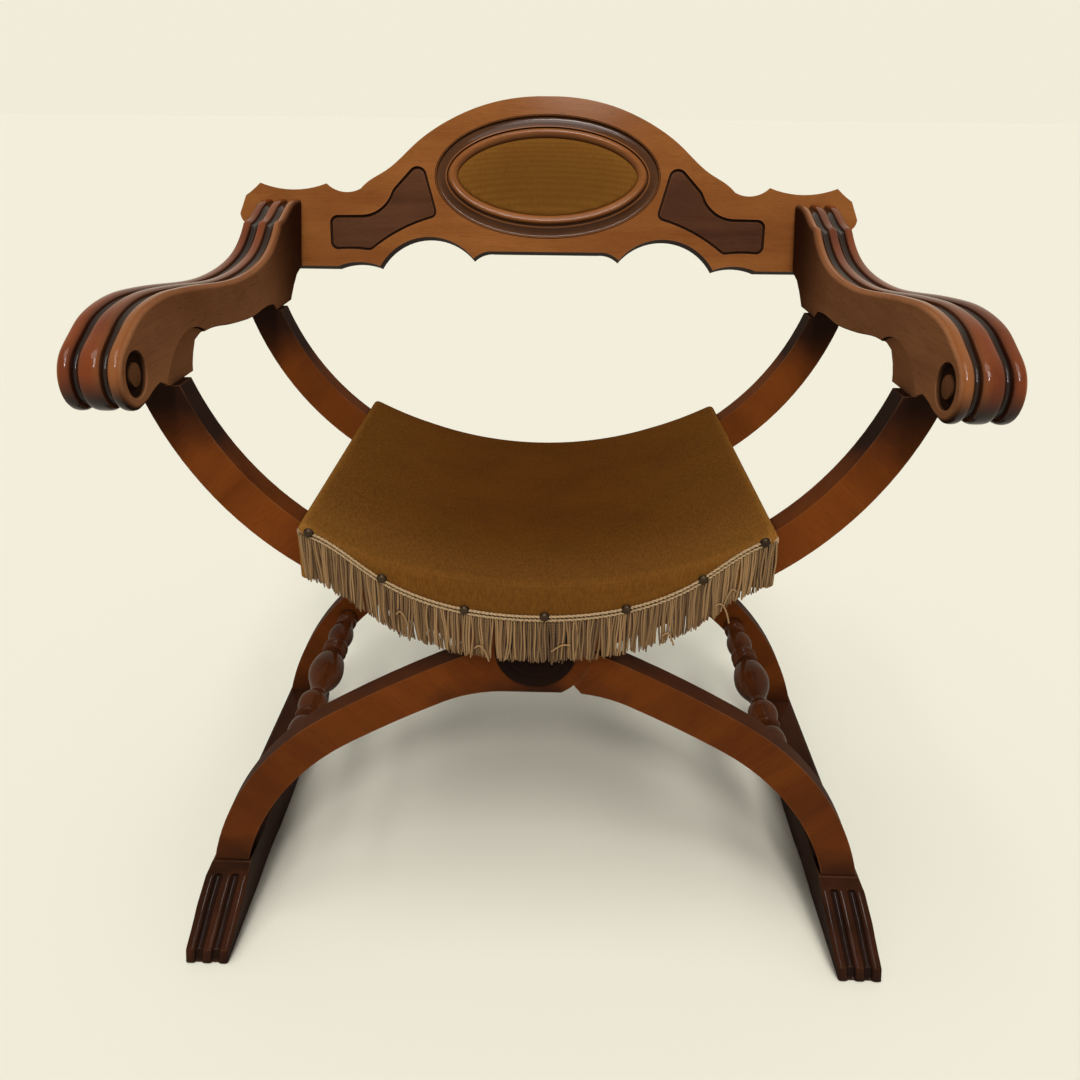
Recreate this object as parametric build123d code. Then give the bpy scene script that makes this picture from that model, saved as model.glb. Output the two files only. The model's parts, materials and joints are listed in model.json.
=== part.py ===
"""Folding Savonarola armchair: two X-shaped leg pairs on a common pivot, scrolled arms,
a lift-off crest board and a lift-off dished seat. Millimetres, +Z up, the chair faces -Y.

Y is measured from the front face of the front legs while the pieces are made, and save()
moves every piece so that the origin lies on the floor under the middle of the chair.
"""

from build123d import *
import os
from math import atan2, cos, degrees, hypot, radians, sin

# ---- Driving dimensions -------------------------------------------------------------

MID_DEPTH = 200.5          # from the front legs' front face back to the chair's middle
PAST = 1.0                 # how far a cut or a joined solid runs past the face it starts from

# legs
LEG_THICK = 25.0           # along Y
REAR_LEG_Y = 294.0         # front face of the rear legs
PIVOT_Z = 334.0            # height of the leg crossing
LEG_TOP_Z = 573.5          # legs end here, under the arms
RUNNER_TOP_Z = 79.4        # and here, on the runners
BAND_MID = 38.0            # width of the curved leg at the crossing
BAND_END = 33.0            # and at its ends
SLOPE_MID = 21.0           # rise of the leg at the crossing, degrees
SLOPE_KNEE = 31.3          # rise where the tighter curve starts, degrees
KNEE_S = 205.0             # distance along the leg from the pivot to that place
END_RADIUS = 273.0         # radius of the tighter curve
END_S = 440.0              # the outline runs past both ends, and is cut level

# crossing
HUB_RADIUS = 50.0          # the round boss that turns between the other leg's shoulders
HUB_FLAT = 44.0            # half height of that boss, which is flat above and below
GUSSET_X = 32.0            # the flat starts to run into the leg's edge here
GUSSET_S = 102.0           # and meets it this far along the leg
GUSSET_SAG = 2.9           # hollow of that stretch
LAP_GAP = 0.3              # clearance between the two halved legs
NOTCH = [(22.0, -50.0), (22.0, -38.0), (33.2, -33.6), (42.0, -44.8), (42.0, -50.0)]
PIN_RADIUS = 5.0
PIN_PLAY = 0.05
PIN_IN_BOSS = 2.0          # how far the pin stands in the turned boss
PIN_SHORT = 1.0            # and how far its other end stops short of the leg's face
# rings of the turned boss over the pivot: radius and how far each stands proud
ROSETTE = [(36.5, 0.0), (36.5, 2.4), (34.5, 3.6), (31.0, 2.6), (27.5, 2.4), (26.0, 3.8), (22.0, 3.8),
           (20.0, 2.2), (16.0, 2.2), (14.0, 3.6), (10.0, 4.0), (0.0, 4.0)]

# tenons at the ends of the legs
TENON_X = 16.0
TENON_Y = 13.0
TENON_LONG = 20.0
TENON_PLAY = 0.1

# arms
ARM_INNER_X = 288.0
ARM_OUTER_FRONT = 334.0
ARM_OUTER_REAR = 330.0
ARM_FRONT_Y = -88.0
SCROLL = (-62.0, 599.0)    # centre of the front volute, Y and Z
SCROLL_RADIUS = 26.0
SCROLL_TURN = 125.0        # where the top line meets the volute, degrees from the rear
EYE_RADIUS = 17.0
EYE_BUTTON = 8.0
EYE_DEEP = 2.5
ARM_REAR_HIGH = 77.6       # height of the rear end, along its rake
# side outline of the arm, as Y and Z: the rise behind the ridge, the top from the ridge forwards,
# then the underside
ARM_RISE = [(408, 675.2), (396.5, 673.6), (385, 670.4), (366, 664), (355, 661.2)]
ARM_TOP = [(341, 659.5), (328, 650.5), (311, 641.5), (291, 634.5), (265, 629.5), (238, 626.8), (208, 625.8),
           (170, 627), (130, 631), (82, 637.3), (38, 642), (18, 643.4), (-1, 643.4), (-21, 641.8),
           (-34, 639.6), (-47, 635.8), (-62, 628.6)]
ARM_THROAT = [(-47, 576), (-36, 580), (-25, 582.5)]
ARM_CORBEL = [(-25, 582.5), (-12, 577), (0, LEG_TOP_Z), (44, LEG_TOP_Z), (46, 579), (51, 587), (60, 596),
              (74, 598.5)]
ARM_UNDER = [(74, 598.5), (98, 597.5), (135, 592), (177, 586.5), (215, 583.5), (260, 584), (282, 581.5)]
ARM_HEEL = [(282, 581.5), (292, LEG_TOP_Z), (350, LEG_TOP_Z), (357, 579), (367, 586.5), (384, 596.5)]
FLUTES = (1 / 3, 2 / 3)    # places of the flutes across the arm, and of the grooves across a paw
FLUTE_WIDE = 9.0
FLUTE_DEEP = 4.5
ARM_LEAF = [(74, 598.5), (24, 604), (-12, 577)]    # upper edge of the sunk leaf over the front leg
LEAF_DEEP = 1.5

# runners with paw feet
TOE_Y = -61.0
RUNNER_INNER_TOP = 286.0
RUNNER_OUTER_TOP = 323.5
RUNNER_INNER_LOW = 301.0
RUNNER_OUTER_LOW = 343.0
TOE_TOP_Z = 21.0
COLLAR_Y = -4.0
COLLAR_Z = 73.0
RELIEF = 4.5               # hollow under the runner between its contact pads
RELIEF_FROM = 46.0
RELIEF_TO = 133.0
PAW_GROOVE = 5.5           # radius of the grooves between a paw's toes
PAW_GROOVE_LIFT = 2.2      # their middle lines lie this far above the paw's slope
PAW_GROOVE_PAST = 6.0      # and start this far before the toe

# stretchers
STRETCHER_X = 240.0
STRETCHER_Z = 191.0
ROUND_TENON = 7.0
ROUND_TENON_LONG = 14.0
ROUND_TENON_SHORT = 0.5    # between a tenon's end and the bottom of its hole

# crest board
RAKE = 19.0
CREST_Y = 406.3            # front face at v = 0, where v runs up the board
CREST_Z = 601.5
CREST_THICK = 20.0
CREST_GAP = 0.4            # between the arm ends and the crest board
OVAL_V = 106.0
OVAL_COVE = (131.5, 70.4)
OVAL_COVE_DEEP = 4.0
OVAL_RING = (115.0, 54.5)
OVAL_RING_HIGH = 6.0
OVAL_INNER = (105.0, 43.5)
OVAL_BOARD = (112.0, 52.0)
OVAL_BOARD_THICK = 5.0
OVAL_CROWN = 2.5
PANEL_DEEP = 3.0
# corners of the sunk panels, and how far each is rounded
PANEL_CORNERS = {(254.5, 60): 9.0, (253, 19.5): 9.0, (206, 19.5): 9.0, (127, 59.5): 8.0, (146.5, 127.5): 11.0,
                 (181, 89.5): 20.0}

# fittings between the crest board and the arms
HOOK_U = 313.0             # middle of the hook's tongue
TONGUE_WIDE = 14.0
TONGUE_THICK = 2.5
TONGUE_V = (10.0, 24.0)
HOOK_NECK = 4.0
HOOK_PLATE_WIDE = 18.0
HOOK_PLATE_V = (8.0, 58.0)
HOOK_SCREWS_V = (34.0, 50.0)
CATCH_V = (14.4, 50.0)
CATCH_U = (296.5, 323.0)
CATCH_SCREWS_U = (303.0, 316.0)
CATCH_SCREWS_V = 42.0
PLATE_THICK = 2.0
TONGUE_SLACK = 1.6         # between the catch plate and the tongue behind it
POCKET_U = (297.5, 321.5)
POCKET_DEEP = 8.0
POCKET_TOP = 30.0
SCREW_RADIUS = 1.6
SCREW_HEAD = 3.2
SCREW_LONG = 12.0

# seat
SEAT_HALF = 199.0
SEAT_FRONT = -22.0
SEAT_BACK = 339.0
SEAT_MID_Z = 414.0         # top of the velvet in the middle
SEAT_EDGE_Z = 466.0        # and at the sides
BOARD_MID_Z = 400.0        # top of the wooden seat
BOARD_EDGE_Z = 460.5
VELVET = 1.2
SEAT_GAP = 0.5             # between the seat and the legs that it lies on
TRIM_LINE = [(0, 383), (68, 390.5), (134.5, 420), (186, 457.5), (197, 461.5)]    # right half, X and Z
NAILS = [(-186.5, 458), (-129, 417), (-60.5, 388.5), (7.5, 383.5), (76.5, 392.5), (138.5, 422), (185.5, 457)]
NAIL_RADIUS = 4.2
NAIL_PROUD = 3.0
NAIL_DOME = [(1.0, 0.0), (0.92, 0.4), (0.6, 0.8), (0.0, 1.0)]    # shares of the radius and of the height
BRAID_ABOVE = 1.5          # above the nails' centres
BRAID_BELOW = 7.5
BRAID_THICK = 2.0
FRINGE_DROP = 45.0
FRINGE_GAP = 0.2           # between the fringe and the velvet behind it


# ---- Helpers ------------------------------------------------------------------------

def save(shape, name):
    """Writes one named piece, moved to the chair's own frame."""
    os.makedirs("parts", exist_ok=True)
    export_step(shape.moved(Location((0, -MID_DEPTH, 0))), f"parts/{name}.step")


def slab(face, y0, y1):
    """A face drawn in X and Z, given the thickness from y0 to y1."""
    plane = Plane(origin=(0, y0, 0), x_dir=(1, 0, 0), z_dir=(0, -1, 0))
    return extrude(plane * face, amount=-(y1 - y0))


def side_slab(face, x0, x1):
    """A face drawn in Y and Z, given the thickness from x0 to x1."""
    plane = Plane(origin=(x0, 0, 0), x_dir=(0, 1, 0), z_dir=(1, 0, 0))
    return extrude(plane * face, amount=x1 - x0)


def block(x, y, z):
    """A box between pairs of limits."""
    centre = [(a + b) / 2 for a, b in (x, y, z)]
    size = [b - a for a, b in (x, y, z)]
    return Pos(*centre) * Box(*size)


def rod(start, end, radius):
    """A cylinder from one point to another."""
    axis = Vector(*end) - Vector(*start)
    return extrude(Plane(origin=start, z_dir=axis) * Circle(radius), amount=axis.length)


def polygon(points):
    return make_face(Polyline(*points, close=True))


def half_turn(face):
    return face.rotate(Axis.Z, 180)


def left_right(face):
    return mirror(face, about=Plane.YZ)


def other_side(shape):
    """The same piece on the chair's left."""
    return mirror(shape, about=Plane.YZ)


def dish(half, edge, middle):
    """An arc that sags from edge height at +-half to middle height."""
    return ThreePointArc((-half, edge), (0, middle), (half, edge))


# ---- Legs ---------------------------------------------------------------------------

def leg_line(s):
    """Middle line of the leg at distance s from the pivot: x, z and slope in radians.

    A flat arc leads from the crossing to the knee, and a tighter one to the end.
    """
    start, knee = radians(SLOPE_MID), radians(SLOPE_KNEE)
    flat_radius = KNEE_S / (knee - start)
    slope = start + min(abs(s), KNEE_S) / flat_radius
    x = flat_radius * (sin(slope) - sin(start))
    z = flat_radius * (cos(start) - cos(slope))
    if abs(s) > KNEE_S:
        slope = knee + (abs(s) - KNEE_S) / END_RADIUS
        x += END_RADIUS * (sin(slope) - sin(knee))
        z += END_RADIUS * (cos(knee) - cos(slope))
    return (x, z, slope) if s >= 0 else (-x, -z, slope)


def leg_edge(s, side, grow=0.0):
    """A point of the leg's upper (+1) or lower (-1) edge, relative to the pivot."""
    x, z, slope = leg_line(s)
    half = (BAND_MID + (BAND_END - BAND_MID) * abs(s) / END_S) / 2 + grow
    return (x - side * half * sin(slope), z + side * half * cos(slope))


def band_face(grow=0.0):
    """The curved leg without its boss, relative to the pivot."""
    count = 12
    stations = [END_S * i / count for i in range(-count, count + 1)]
    upper = [leg_edge(s, 1, grow) for s in stations]
    lower = [leg_edge(s, -1, grow) for s in reversed(stations)]
    ends = [Line(upper[-1], lower[0]), Line(lower[-1], upper[0])]
    return make_face([Spline(*upper), ends[0], Spline(*lower), ends[1]])


def gusset_face(grow=0.0):
    """Runs the boss's flat underside into the lower edge of the leg."""
    flat = (-GUSSET_X, -HUB_FLAT - grow)
    edge = leg_edge(-GUSSET_S, -1, grow)
    middle = ((flat[0] + edge[0]) / 2, (flat[1] + edge[1]) / 2 + GUSSET_SAG)
    inner, corner = leg_line(-HUB_RADIUS)[:2], leg_line(-HUB_RADIUS / 3)[:2]
    foot = (corner[0], flat[1])
    lines = [Line(flat, foot), Line(foot, corner), Line(corner, inner), Line(inner, edge)]
    return make_face([ThreePointArc(edge, middle, flat)] + lines)


def leg_face(grow=0.0):
    """Full outline of the leg that runs from the left foot to the right arm."""
    boss = Circle(HUB_RADIUS + grow) & Rectangle(3 * HUB_RADIUS, 2 * (HUB_FLAT + grow))
    gusset = gusset_face(grow)
    return band_face(grow) + boss + gusset + half_turn(gusset)


def tenon(s, y, z0, z1, play=0.0):
    """A square tenon round the leg's middle line at distance s, or with play its mortise."""
    x = leg_line(s)[0]
    half_x = TENON_X / 2 + play
    margin = (LEG_THICK - TENON_Y) / 2 - play
    return block((x - half_x, x + half_x), (y + margin, y + LEG_THICK - margin), (z0, z1))


def tenons(y):
    """Both tenons of the leg that runs from the left foot to the right arm."""
    upper = tenon(TOP_S, y, LEG_TOP_Z - PAST, LEG_TOP_Z + TENON_LONG)
    lower = tenon(LOW_S, y, RUNNER_TOP_Z - TENON_LONG, RUNNER_TOP_Z + PAST)
    return upper, lower


def leg_length_to(height):
    """Distance along the leg at which its middle line is this far above the pivot."""
    s = 0.0
    while leg_line(s)[1] < height:
        s += 0.5
    return s


TOP_S = leg_length_to(LEG_TOP_Z - PIVOT_Z)
LOW_S = -leg_length_to(PIVOT_Z - RUNNER_TOP_Z)


def leg(y, first):
    """The leg from the left foot to the right arm, halved where it crosses its pair.

    The first of a pair keeps the front half of its thickness whole, with a round boss, and the
    second keeps the back half, as a plain neck with a relief that the boss's corner swings into.
    """
    own, other = leg_face(), left_right(leg_face(LAP_GAP))
    middle, half_gap = y + LEG_THICK / 2, LAP_GAP / 2
    clearing = Circle(HUB_RADIUS + LAP_GAP)
    shoulders = own - other - clearing
    if first:
        whole = own
        layers = ((whole, y, middle - half_gap), (shoulders, middle - half_gap, y + LEG_THICK))
    else:
        notch = left_right(polygon(NOTCH))
        relief = notch + half_turn(notch)
        whole = own - (clearing - band_face()) - relief
        shoulders -= relief
        layers = ((shoulders, y, middle + half_gap), (whole, middle + half_gap, y + LEG_THICK))
    solid = Part() + [slab(Pos(0, PIVOT_Z) * face, y0, y1) for face, y0, y1 in layers]
    solid &= block((-END_S, END_S), (y - PAST, y + LEG_THICK + PAST), (RUNNER_TOP_Z, LEG_TOP_Z))
    for piece in tenons(y):
        solid += piece
    solid -= rod((0, y - PAST, PIVOT_Z), (0, y + LEG_THICK + PAST, PIVOT_Z), PIN_RADIUS + PIN_PLAY)
    for start, end in round_tenons(y):
        solid -= rod(start, end, ROUND_TENON + TENON_PLAY)
    return solid


def round_tenons(y):
    """Where the stretcher's round tenon enters the leg at y, on the chair's left."""
    if y < REAR_LEG_Y:
        inside, outside = y + LEG_THICK - ROUND_TENON_LONG, y + LEG_THICK + PAST
    else:
        inside, outside = y + ROUND_TENON_LONG, y - PAST
    return [((-STRETCHER_X, outside, STRETCHER_Z), (-STRETCHER_X, inside, STRETCHER_Z))]


def make_legs():
    for place, y in (("front", 0.0), ("rear", REAR_LEG_Y)):
        save(leg(y, True), f"{place}_leg_a")
        save(other_side(leg(y, False)), f"{place}_leg_b")


# ---- Pivot --------------------------------------------------------------------------

def turned(profile, y, z):
    """Revolves (distance, radius) points about a line along +Y that starts at (0, y, z)."""
    outline = make_face(Polyline(*profile, close=True))
    plane = Plane(origin=(0, y, z), x_dir=(0, 1, 0), z_dir=(-1, 0, 0))
    return revolve(plane * outline, Axis((0, y, z), (0, 1, 0)), 360)


def rosette(y, outward):
    """A turned boss with raised rings, outward is -1 for the front and +1 for the back."""
    profile = [(outward * proud, radius) for radius, proud in ROSETTE]
    return turned([(0.0, 0.0)] + profile, y + outward * LAP_GAP, PIVOT_Z)


def make_pivots():
    for place, y, outward in (("front", 0.0, -1), ("rear", REAR_LEG_Y, 1)):
        face = y if outward < 0 else y + LEG_THICK
        boss = rosette(face, outward)
        tip = face + outward * PIN_IN_BOSS
        far = face - outward * (LEG_THICK - PIN_SHORT)
        pin = rod((0, tip, PIVOT_Z), (0, far, PIVOT_Z), PIN_RADIUS)
        save(pin, f"pivot_pin_{place}")
        save(boss - pin, f"rosette_{place}")


# ---- Arms ---------------------------------------------------------------------------

def crest_point(v, front=0.0):
    """Y and Z of a place v up the crest board and this far in front of its face."""
    rake = radians(RAKE)
    return (CREST_Y + v * sin(rake) - front * cos(rake), CREST_Z + v * cos(rake) + front * sin(rake))


def arm_top(lower):
    """The arm's top line from its rear end to the volute, and round the volute, lowered by this much."""
    cy, cz = SCROLL
    radius = SCROLL_RADIUS - lower
    turn = radians(SCROLL_TURN)
    start = (cy + radius * cos(turn), cz + radius * sin(turn))
    ridge, *rest = [(y, z - lower) for y, z in ARM_TOP]
    rise = [(y, z - lower) for y, z in ARM_RISE]
    rear_y, rear_z = crest_point(ARM_REAR_HIGH, CREST_GAP)
    end = (cy, cz - radius)
    return [Spline((rear_y, rear_z - lower), *rise, ridge), Spline(ridge, *rest, start),
            ThreePointArc(start, (cy - radius, cz), end)], end


def arm_face():
    """Side outline of an arm: level place for the hand, ridge behind it, volute in front."""
    top, scroll_low = arm_top(0.0)
    rear_low = crest_point(0.0, CREST_GAP)
    rear_top = crest_point(ARM_REAR_HIGH, CREST_GAP)
    under = [Spline(scroll_low, *ARM_THROAT), Polyline(*ARM_CORBEL), Spline(*ARM_UNDER),
             Polyline(*ARM_HEEL, rear_low)]
    return make_face(top + under + [Line(rear_low, rear_top)])


def flute_face():
    """What a flute takes away: all that lies outside a line within the arm's top and volute."""
    top, low = arm_top(FLUTE_DEEP)
    high, under = ARM_TOP[0][1] + 2 * SCROLL_RADIUS, low[1] - SCROLL_RADIUS
    front, rear = ARM_FRONT_Y - SCROLL_RADIUS, top[0] @ 0
    beyond = (rear.X + SCROLL_RADIUS, rear.Y)
    around = Polyline(low, (low[0], under), (front, under), (front, high), (beyond[0], high), beyond, rear)
    return make_face(top + [around])


def arm_outer_x(y):
    """The arm's outer side at y: the arm tapers towards its rear end."""
    share = (y - ARM_FRONT_Y) / (CREST_Y - ARM_FRONT_Y)
    return ARM_OUTER_FRONT + (ARM_OUTER_REAR - ARM_OUTER_FRONT) * share


def leaf_face():
    """The sunk leaf on both sides of the arm, over the front leg."""
    rear, _, front = ARM_LEAF
    low = rear[1] - 2 * SCROLL_RADIUS
    around = Polyline(front, (front[0], low), (rear[0], low), rear)
    return make_face([ThreePointArc(*ARM_LEAF), around])


def arm():
    """The right arm."""
    solid = side_slab(arm_face(), ARM_INNER_X, ARM_OUTER_FRONT)
    ends = (2 * ARM_FRONT_Y, CREST_Y + SCROLL_RADIUS * 2)
    beyond = ARM_OUTER_FRONT + SCROLL_RADIUS
    taper = [(arm_outer_x(y), y) for y in ends] + [(beyond, y) for y in reversed(ends)]
    solid -= extrude(Plane.XY.offset(RUNNER_TOP_Z) * polygon(taper), amount=LEG_TOP_Z * 2)
    strip = flute_face()
    for part in FLUTES:
        widths = [arm_outer_x(y) - ARM_INNER_X for y in (ARM_FRONT_Y, CREST_Y)]
        front_x, rear_x = [ARM_INNER_X + width * part for width in widths]
        flute = side_slab(strip, front_x - FLUTE_WIDE / 2, front_x + FLUTE_WIDE / 2)
        swing = degrees(atan2(front_x - rear_x, CREST_Y - ARM_FRONT_Y))
        solid -= flute.rotate(Axis((front_x, ARM_FRONT_Y, 0), (0, 0, 1)), swing)
    eye = Pos(*SCROLL) * (Circle(EYE_RADIUS) - Circle(EYE_BUTTON))
    for face, y, deep in ((eye, SCROLL[0], EYE_DEEP), (leaf_face(), ARM_LEAF[1][0], LEAF_DEEP)):
        solid -= side_slab(face, ARM_INNER_X - deep, ARM_INNER_X + deep)
        solid -= side_slab(face, arm_outer_x(y) - deep, beyond)
    for y in (0.0, REAR_LEG_Y):
        solid -= tenon(TOP_S, y, LEG_TOP_Z - PAST, LEG_TOP_Z + TENON_LONG + TENON_PLAY, TENON_PLAY)
    for screw_hole in hook_screws():
        solid -= screw_hole
    return solid - hook_plate(TENON_PLAY)


def make_arms():
    right = arm()
    save(right, "arm_right")
    save(other_side(right), "arm_left")


# ---- Runners ------------------------------------------------------------------------

def runner():
    """The left runner's mirror image, on the chair's right, with a carved paw at each end."""
    rear = REAR_LEG_Y + LEG_THICK
    half = [(TOE_Y, 0), (TOE_Y, TOE_TOP_Z), (COLLAR_Y, COLLAR_Z), (0, RUNNER_TOP_Z)]
    back = [(rear - y, z) for y, z in reversed(half)]
    low = [(rear - RELIEF_FROM, 0), (rear - RELIEF_TO, 0), (RELIEF_TO, 0), (RELIEF_FROM, 0)]
    mid = [((low[0][0] + low[1][0]) / 2, RELIEF), ((low[2][0] + low[3][0]) / 2, RELIEF)]
    edges = [Polyline(*half, *back), Line(back[-1], low[0]), ThreePointArc(low[0], mid[0], low[1]),
             Line(low[1], low[2]), ThreePointArc(low[2], mid[1], low[3]), Line(low[3], half[0])]
    solid = side_slab(make_face(edges), RUNNER_INNER_TOP - PAST, RUNNER_OUTER_LOW + PAST)
    section = polygon([(RUNNER_INNER_TOP, RUNNER_TOP_Z), (RUNNER_OUTER_TOP, RUNNER_TOP_Z),
                       (RUNNER_OUTER_LOW, 0), (RUNNER_INNER_LOW, 0)])
    solid &= slab(section, TOE_Y - PAST, rear - TOE_Y + PAST)
    slope = (COLLAR_Z - TOE_TOP_Z) / (COLLAR_Y - TOE_Y)
    start = (TOE_Y - PAW_GROOVE_PAST, TOE_TOP_Z - PAW_GROOVE_PAST * slope + PAW_GROOVE_LIFT)
    end = (COLLAR_Y, COLLAR_Z + PAW_GROOVE_LIFT)
    for part in FLUTES:
        x_low, x_high = flared_x(part, TOE_TOP_Z), flared_x(part, COLLAR_Z)
        solid -= rod((x_low, *start), (x_high, *end), PAW_GROOVE)
        solid -= rod((x_low, rear - start[0], start[1]), (x_high, rear - end[0], end[1]), PAW_GROOVE)
    for y in (0.0, REAR_LEG_Y):
        low = RUNNER_TOP_Z - TENON_LONG - TENON_PLAY
        solid -= other_side(tenon(LOW_S, y, low, RUNNER_TOP_Z + PAST, TENON_PLAY))
    return solid


def flared_x(part, z):
    """A place across the runner, from its inner face (0) to its outer face (1), at height z."""
    up = z / RUNNER_TOP_Z
    inner = RUNNER_INNER_LOW + (RUNNER_INNER_TOP - RUNNER_INNER_LOW) * up
    outer = RUNNER_OUTER_LOW + (RUNNER_OUTER_TOP - RUNNER_OUTER_LOW) * up
    return inner + (outer - inner) * part


def make_runners():
    right = runner()
    save(right, "runner_right")
    save(other_side(right), "runner_left")


# ---- Stretchers ---------------------------------------------------------------------

def bulge(start, end, radius, reach):
    """Half outline of a turned swelling from start to end, both at this radius."""
    return ThreePointArc((start, radius), ((start + end) / 2, reach), (end, radius))


def stretcher():
    """A turned stretcher between the front and the rear leg, on the chair's right."""
    y0, y1 = LEG_THICK, REAR_LEG_Y
    t = ROUND_TENON
    front = y0 - ROUND_TENON_LONG + ROUND_TENON_SHORT
    back = y1 + ROUND_TENON_LONG - ROUND_TENON_SHORT
    start = [(front, 0), (front, t), (y0, t), (y0, 11), (36, 12), (40, 9.5), (47, 9.5)]
    rings = [(82, 9.5), (86, 9.5), (87, 13), (90, 13.5), (92, 11), (95, 11)]
    neck = [(128, 9), (134, 8.6)]
    upper = [(206, 10), (209, 10), (210, 13.5), (215, 14), (217, 12), (220, 14), (226, 13.5), (228, 10),
             (231, 10)]
    end = [(268, 10), (278, 9.5), (282, 12), (y1, 11.5), (y1, t), (back, t), (back, 0)]
    edges = [Polyline(*start), bulge(47, 82, 9.5, 14.5), Polyline(*rings),
             ThreePointArc((95, 11), (111, 15.5), (128, 9)), Polyline(*neck),
             Spline((134, 8.6), (150, 13.5), (172, 19), (192, 16), (206, 10)), Polyline(*upper),
             bulge(231, 268, 10, 14.5), Polyline(*end), Line(end[-1], start[0])]
    plane = Plane(origin=(STRETCHER_X, 0, STRETCHER_Z), x_dir=(0, 1, 0), z_dir=(-1, 0, 0))
    axis = Axis((STRETCHER_X, 0, STRETCHER_Z), (0, 1, 0))
    return revolve(plane * make_face(edges), axis, 360)


def make_stretchers():
    right = stretcher()
    save(right, "stretcher_right")
    save(other_side(right), "stretcher_left")


# ---- Crest board --------------------------------------------------------------------

def crest_plane(front=0.0):
    """Plane on the crest board's face, or in front of it: local x, y are X and the way up."""
    rake = radians(RAKE)
    y, z = crest_point(0.0, front)
    return Plane(origin=(0, y, z), x_dir=(1, 0, 0), z_dir=(0, -cos(rake), sin(rake)))


def crest_slab(face, front, back):
    """A face drawn on the crest board, from front in front of it to back behind its face."""
    return extrude(crest_plane(front) * face, amount=-(front + back))


def crest_half_edges():
    """Right half of the board's outline, from the middle of the top round to the bottom."""
    arch = Spline((0, 196), (28, 195), (77, 185), (118, 167), (154, 142), (189, 111), (206, 101),
                  (218, 90.5))
    ear = [ThreePointArc((218, 90.5), (238, 86.5), (258, 96)),
           ThreePointArc((258, 96), (297.5, 88.6), (336, 96)),
           ThreePointArc((336, 96), (345, 87.5), (353, 81.5)), Line((353, 81.5), (360, 61)),
           ThreePointArc((360, 61), (357, 53), (350, 48)), Line((350, 48), (338, 40)),
           ThreePointArc((338, 40), (322, 14), (296, 1.5))]
    low = [Line((296, 1.5), (245, 1.4)), ThreePointArc((245, 1.4), (221, 6.5), (195, 2)),
           ThreePointArc((195, 2), (142, 36), (85, 12)), ThreePointArc((85, 12), (75, 18.5), (60, 20.5)),
           Line((60, 20.5), (0, 20.5))]
    return [arch] + ear + low


def crest_face():
    half = make_face(crest_half_edges() + [Line((0, 20.5), (0, 196))])
    return half + left_right(half)


def side_panel_face():
    """The sunk panel beside the oval, on the right."""
    outer, low, toe, inner, peak, waist = PANEL_CORNERS
    shoulder = (216, 60.5)
    edges = [Line(outer, low), ThreePointArc(low, (228, 21.3), toe), ThreePointArc(toe, (173, 42), inner),
             Line(inner, peak), Line(peak, waist), ThreePointArc(waist, (193.6, 69.5), shoulder),
             Line(shoulder, outer)]
    face = make_face(edges)
    for (x, y), radius in PANEL_CORNERS.items():
        corner = min(face.vertices(), key=lambda v: hypot(v.X - x, v.Y - y))
        face = fillet([corner], radius)
    return face


def oval(axes):
    return Pos(0, OVAL_V) * Ellipse(*axes)


def oblong(across, up):
    """A rectangle on the crest board between pairs of limits."""
    (u0, u1), (v0, v1) = across, up
    return polygon([(u0, v0), (u1, v0), (u1, v1), (u0, v1)])


def make_crest():
    board = crest_slab(crest_face(), 0, CREST_THICK)
    board -= crest_slab(oval(OVAL_COVE), PAST, OVAL_COVE_DEEP)
    board -= crest_slab(oval(OVAL_INNER), PAST, CREST_THICK + PAST)
    board -= crest_slab(oval(OVAL_BOARD), -(CREST_THICK - OVAL_BOARD_THICK), CREST_THICK + PAST)
    pocket = oblong(POCKET_U, (-PAST, POCKET_TOP))
    for face, deep in ((side_panel_face(), PANEL_DEEP), (pocket, POCKET_DEEP)):
        for side in (face, left_right(face)):
            board -= crest_slab(side, PAST, deep)
    catch = catch_plate()
    screws = catch_screws()
    plates = [catch, other_side(catch)]
    for piece in plates + screws:
        board -= piece
    save(board, "crest_board")
    ring = crest_slab(oval(OVAL_RING) - oval(OVAL_INNER), OVAL_RING_HIGH - OVAL_COVE_DEEP, OVAL_COVE_DEEP)
    save(ring, "crest_oval_ring")
    save(crest_slab(oval(OVAL_BOARD), -(CREST_THICK - OVAL_BOARD_THICK), CREST_THICK), "crest_oval_backing")
    pad = crest_slab(oval(OVAL_INNER), OVAL_CROWN, CREST_THICK - OVAL_BOARD_THICK)
    save(pad, "crest_oval_pad")
    save(catch - screws[0] - screws[1], "crest_catch_right")
    save(other_side(catch - screws[0] - screws[1]), "crest_catch_left")
    save(Compound(children=screws), "crest_catch_screws")


# ---- Fittings between the crest board and the arms -----------------------------------

def catch_plate():
    return crest_slab(oblong(CATCH_U, CATCH_V), 0, PLATE_THICK)


def screw(u, v, front, inward):
    """A countersunk screw whose head is flush this far in front of the crest board's face.

    inward is +1 for one driven into the board and -1 for one driven into an arm.
    """
    head = Pos(u, v) * Circle(SCREW_HEAD)
    shank = Pos(u, v) * Circle(SCREW_RADIUS)
    if inward > 0:
        return crest_slab(head, front, PLATE_THICK - front) + crest_slab(shank, front, SCREW_LONG)
    return crest_slab(head, front + PLATE_THICK, -front) + crest_slab(shank, front + SCREW_LONG, -front)


def catch_screws():
    right = [screw(u, CATCH_SCREWS_V, 0.0, 1) for u in CATCH_SCREWS_U]
    return right + [other_side(piece) for piece in right]


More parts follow.
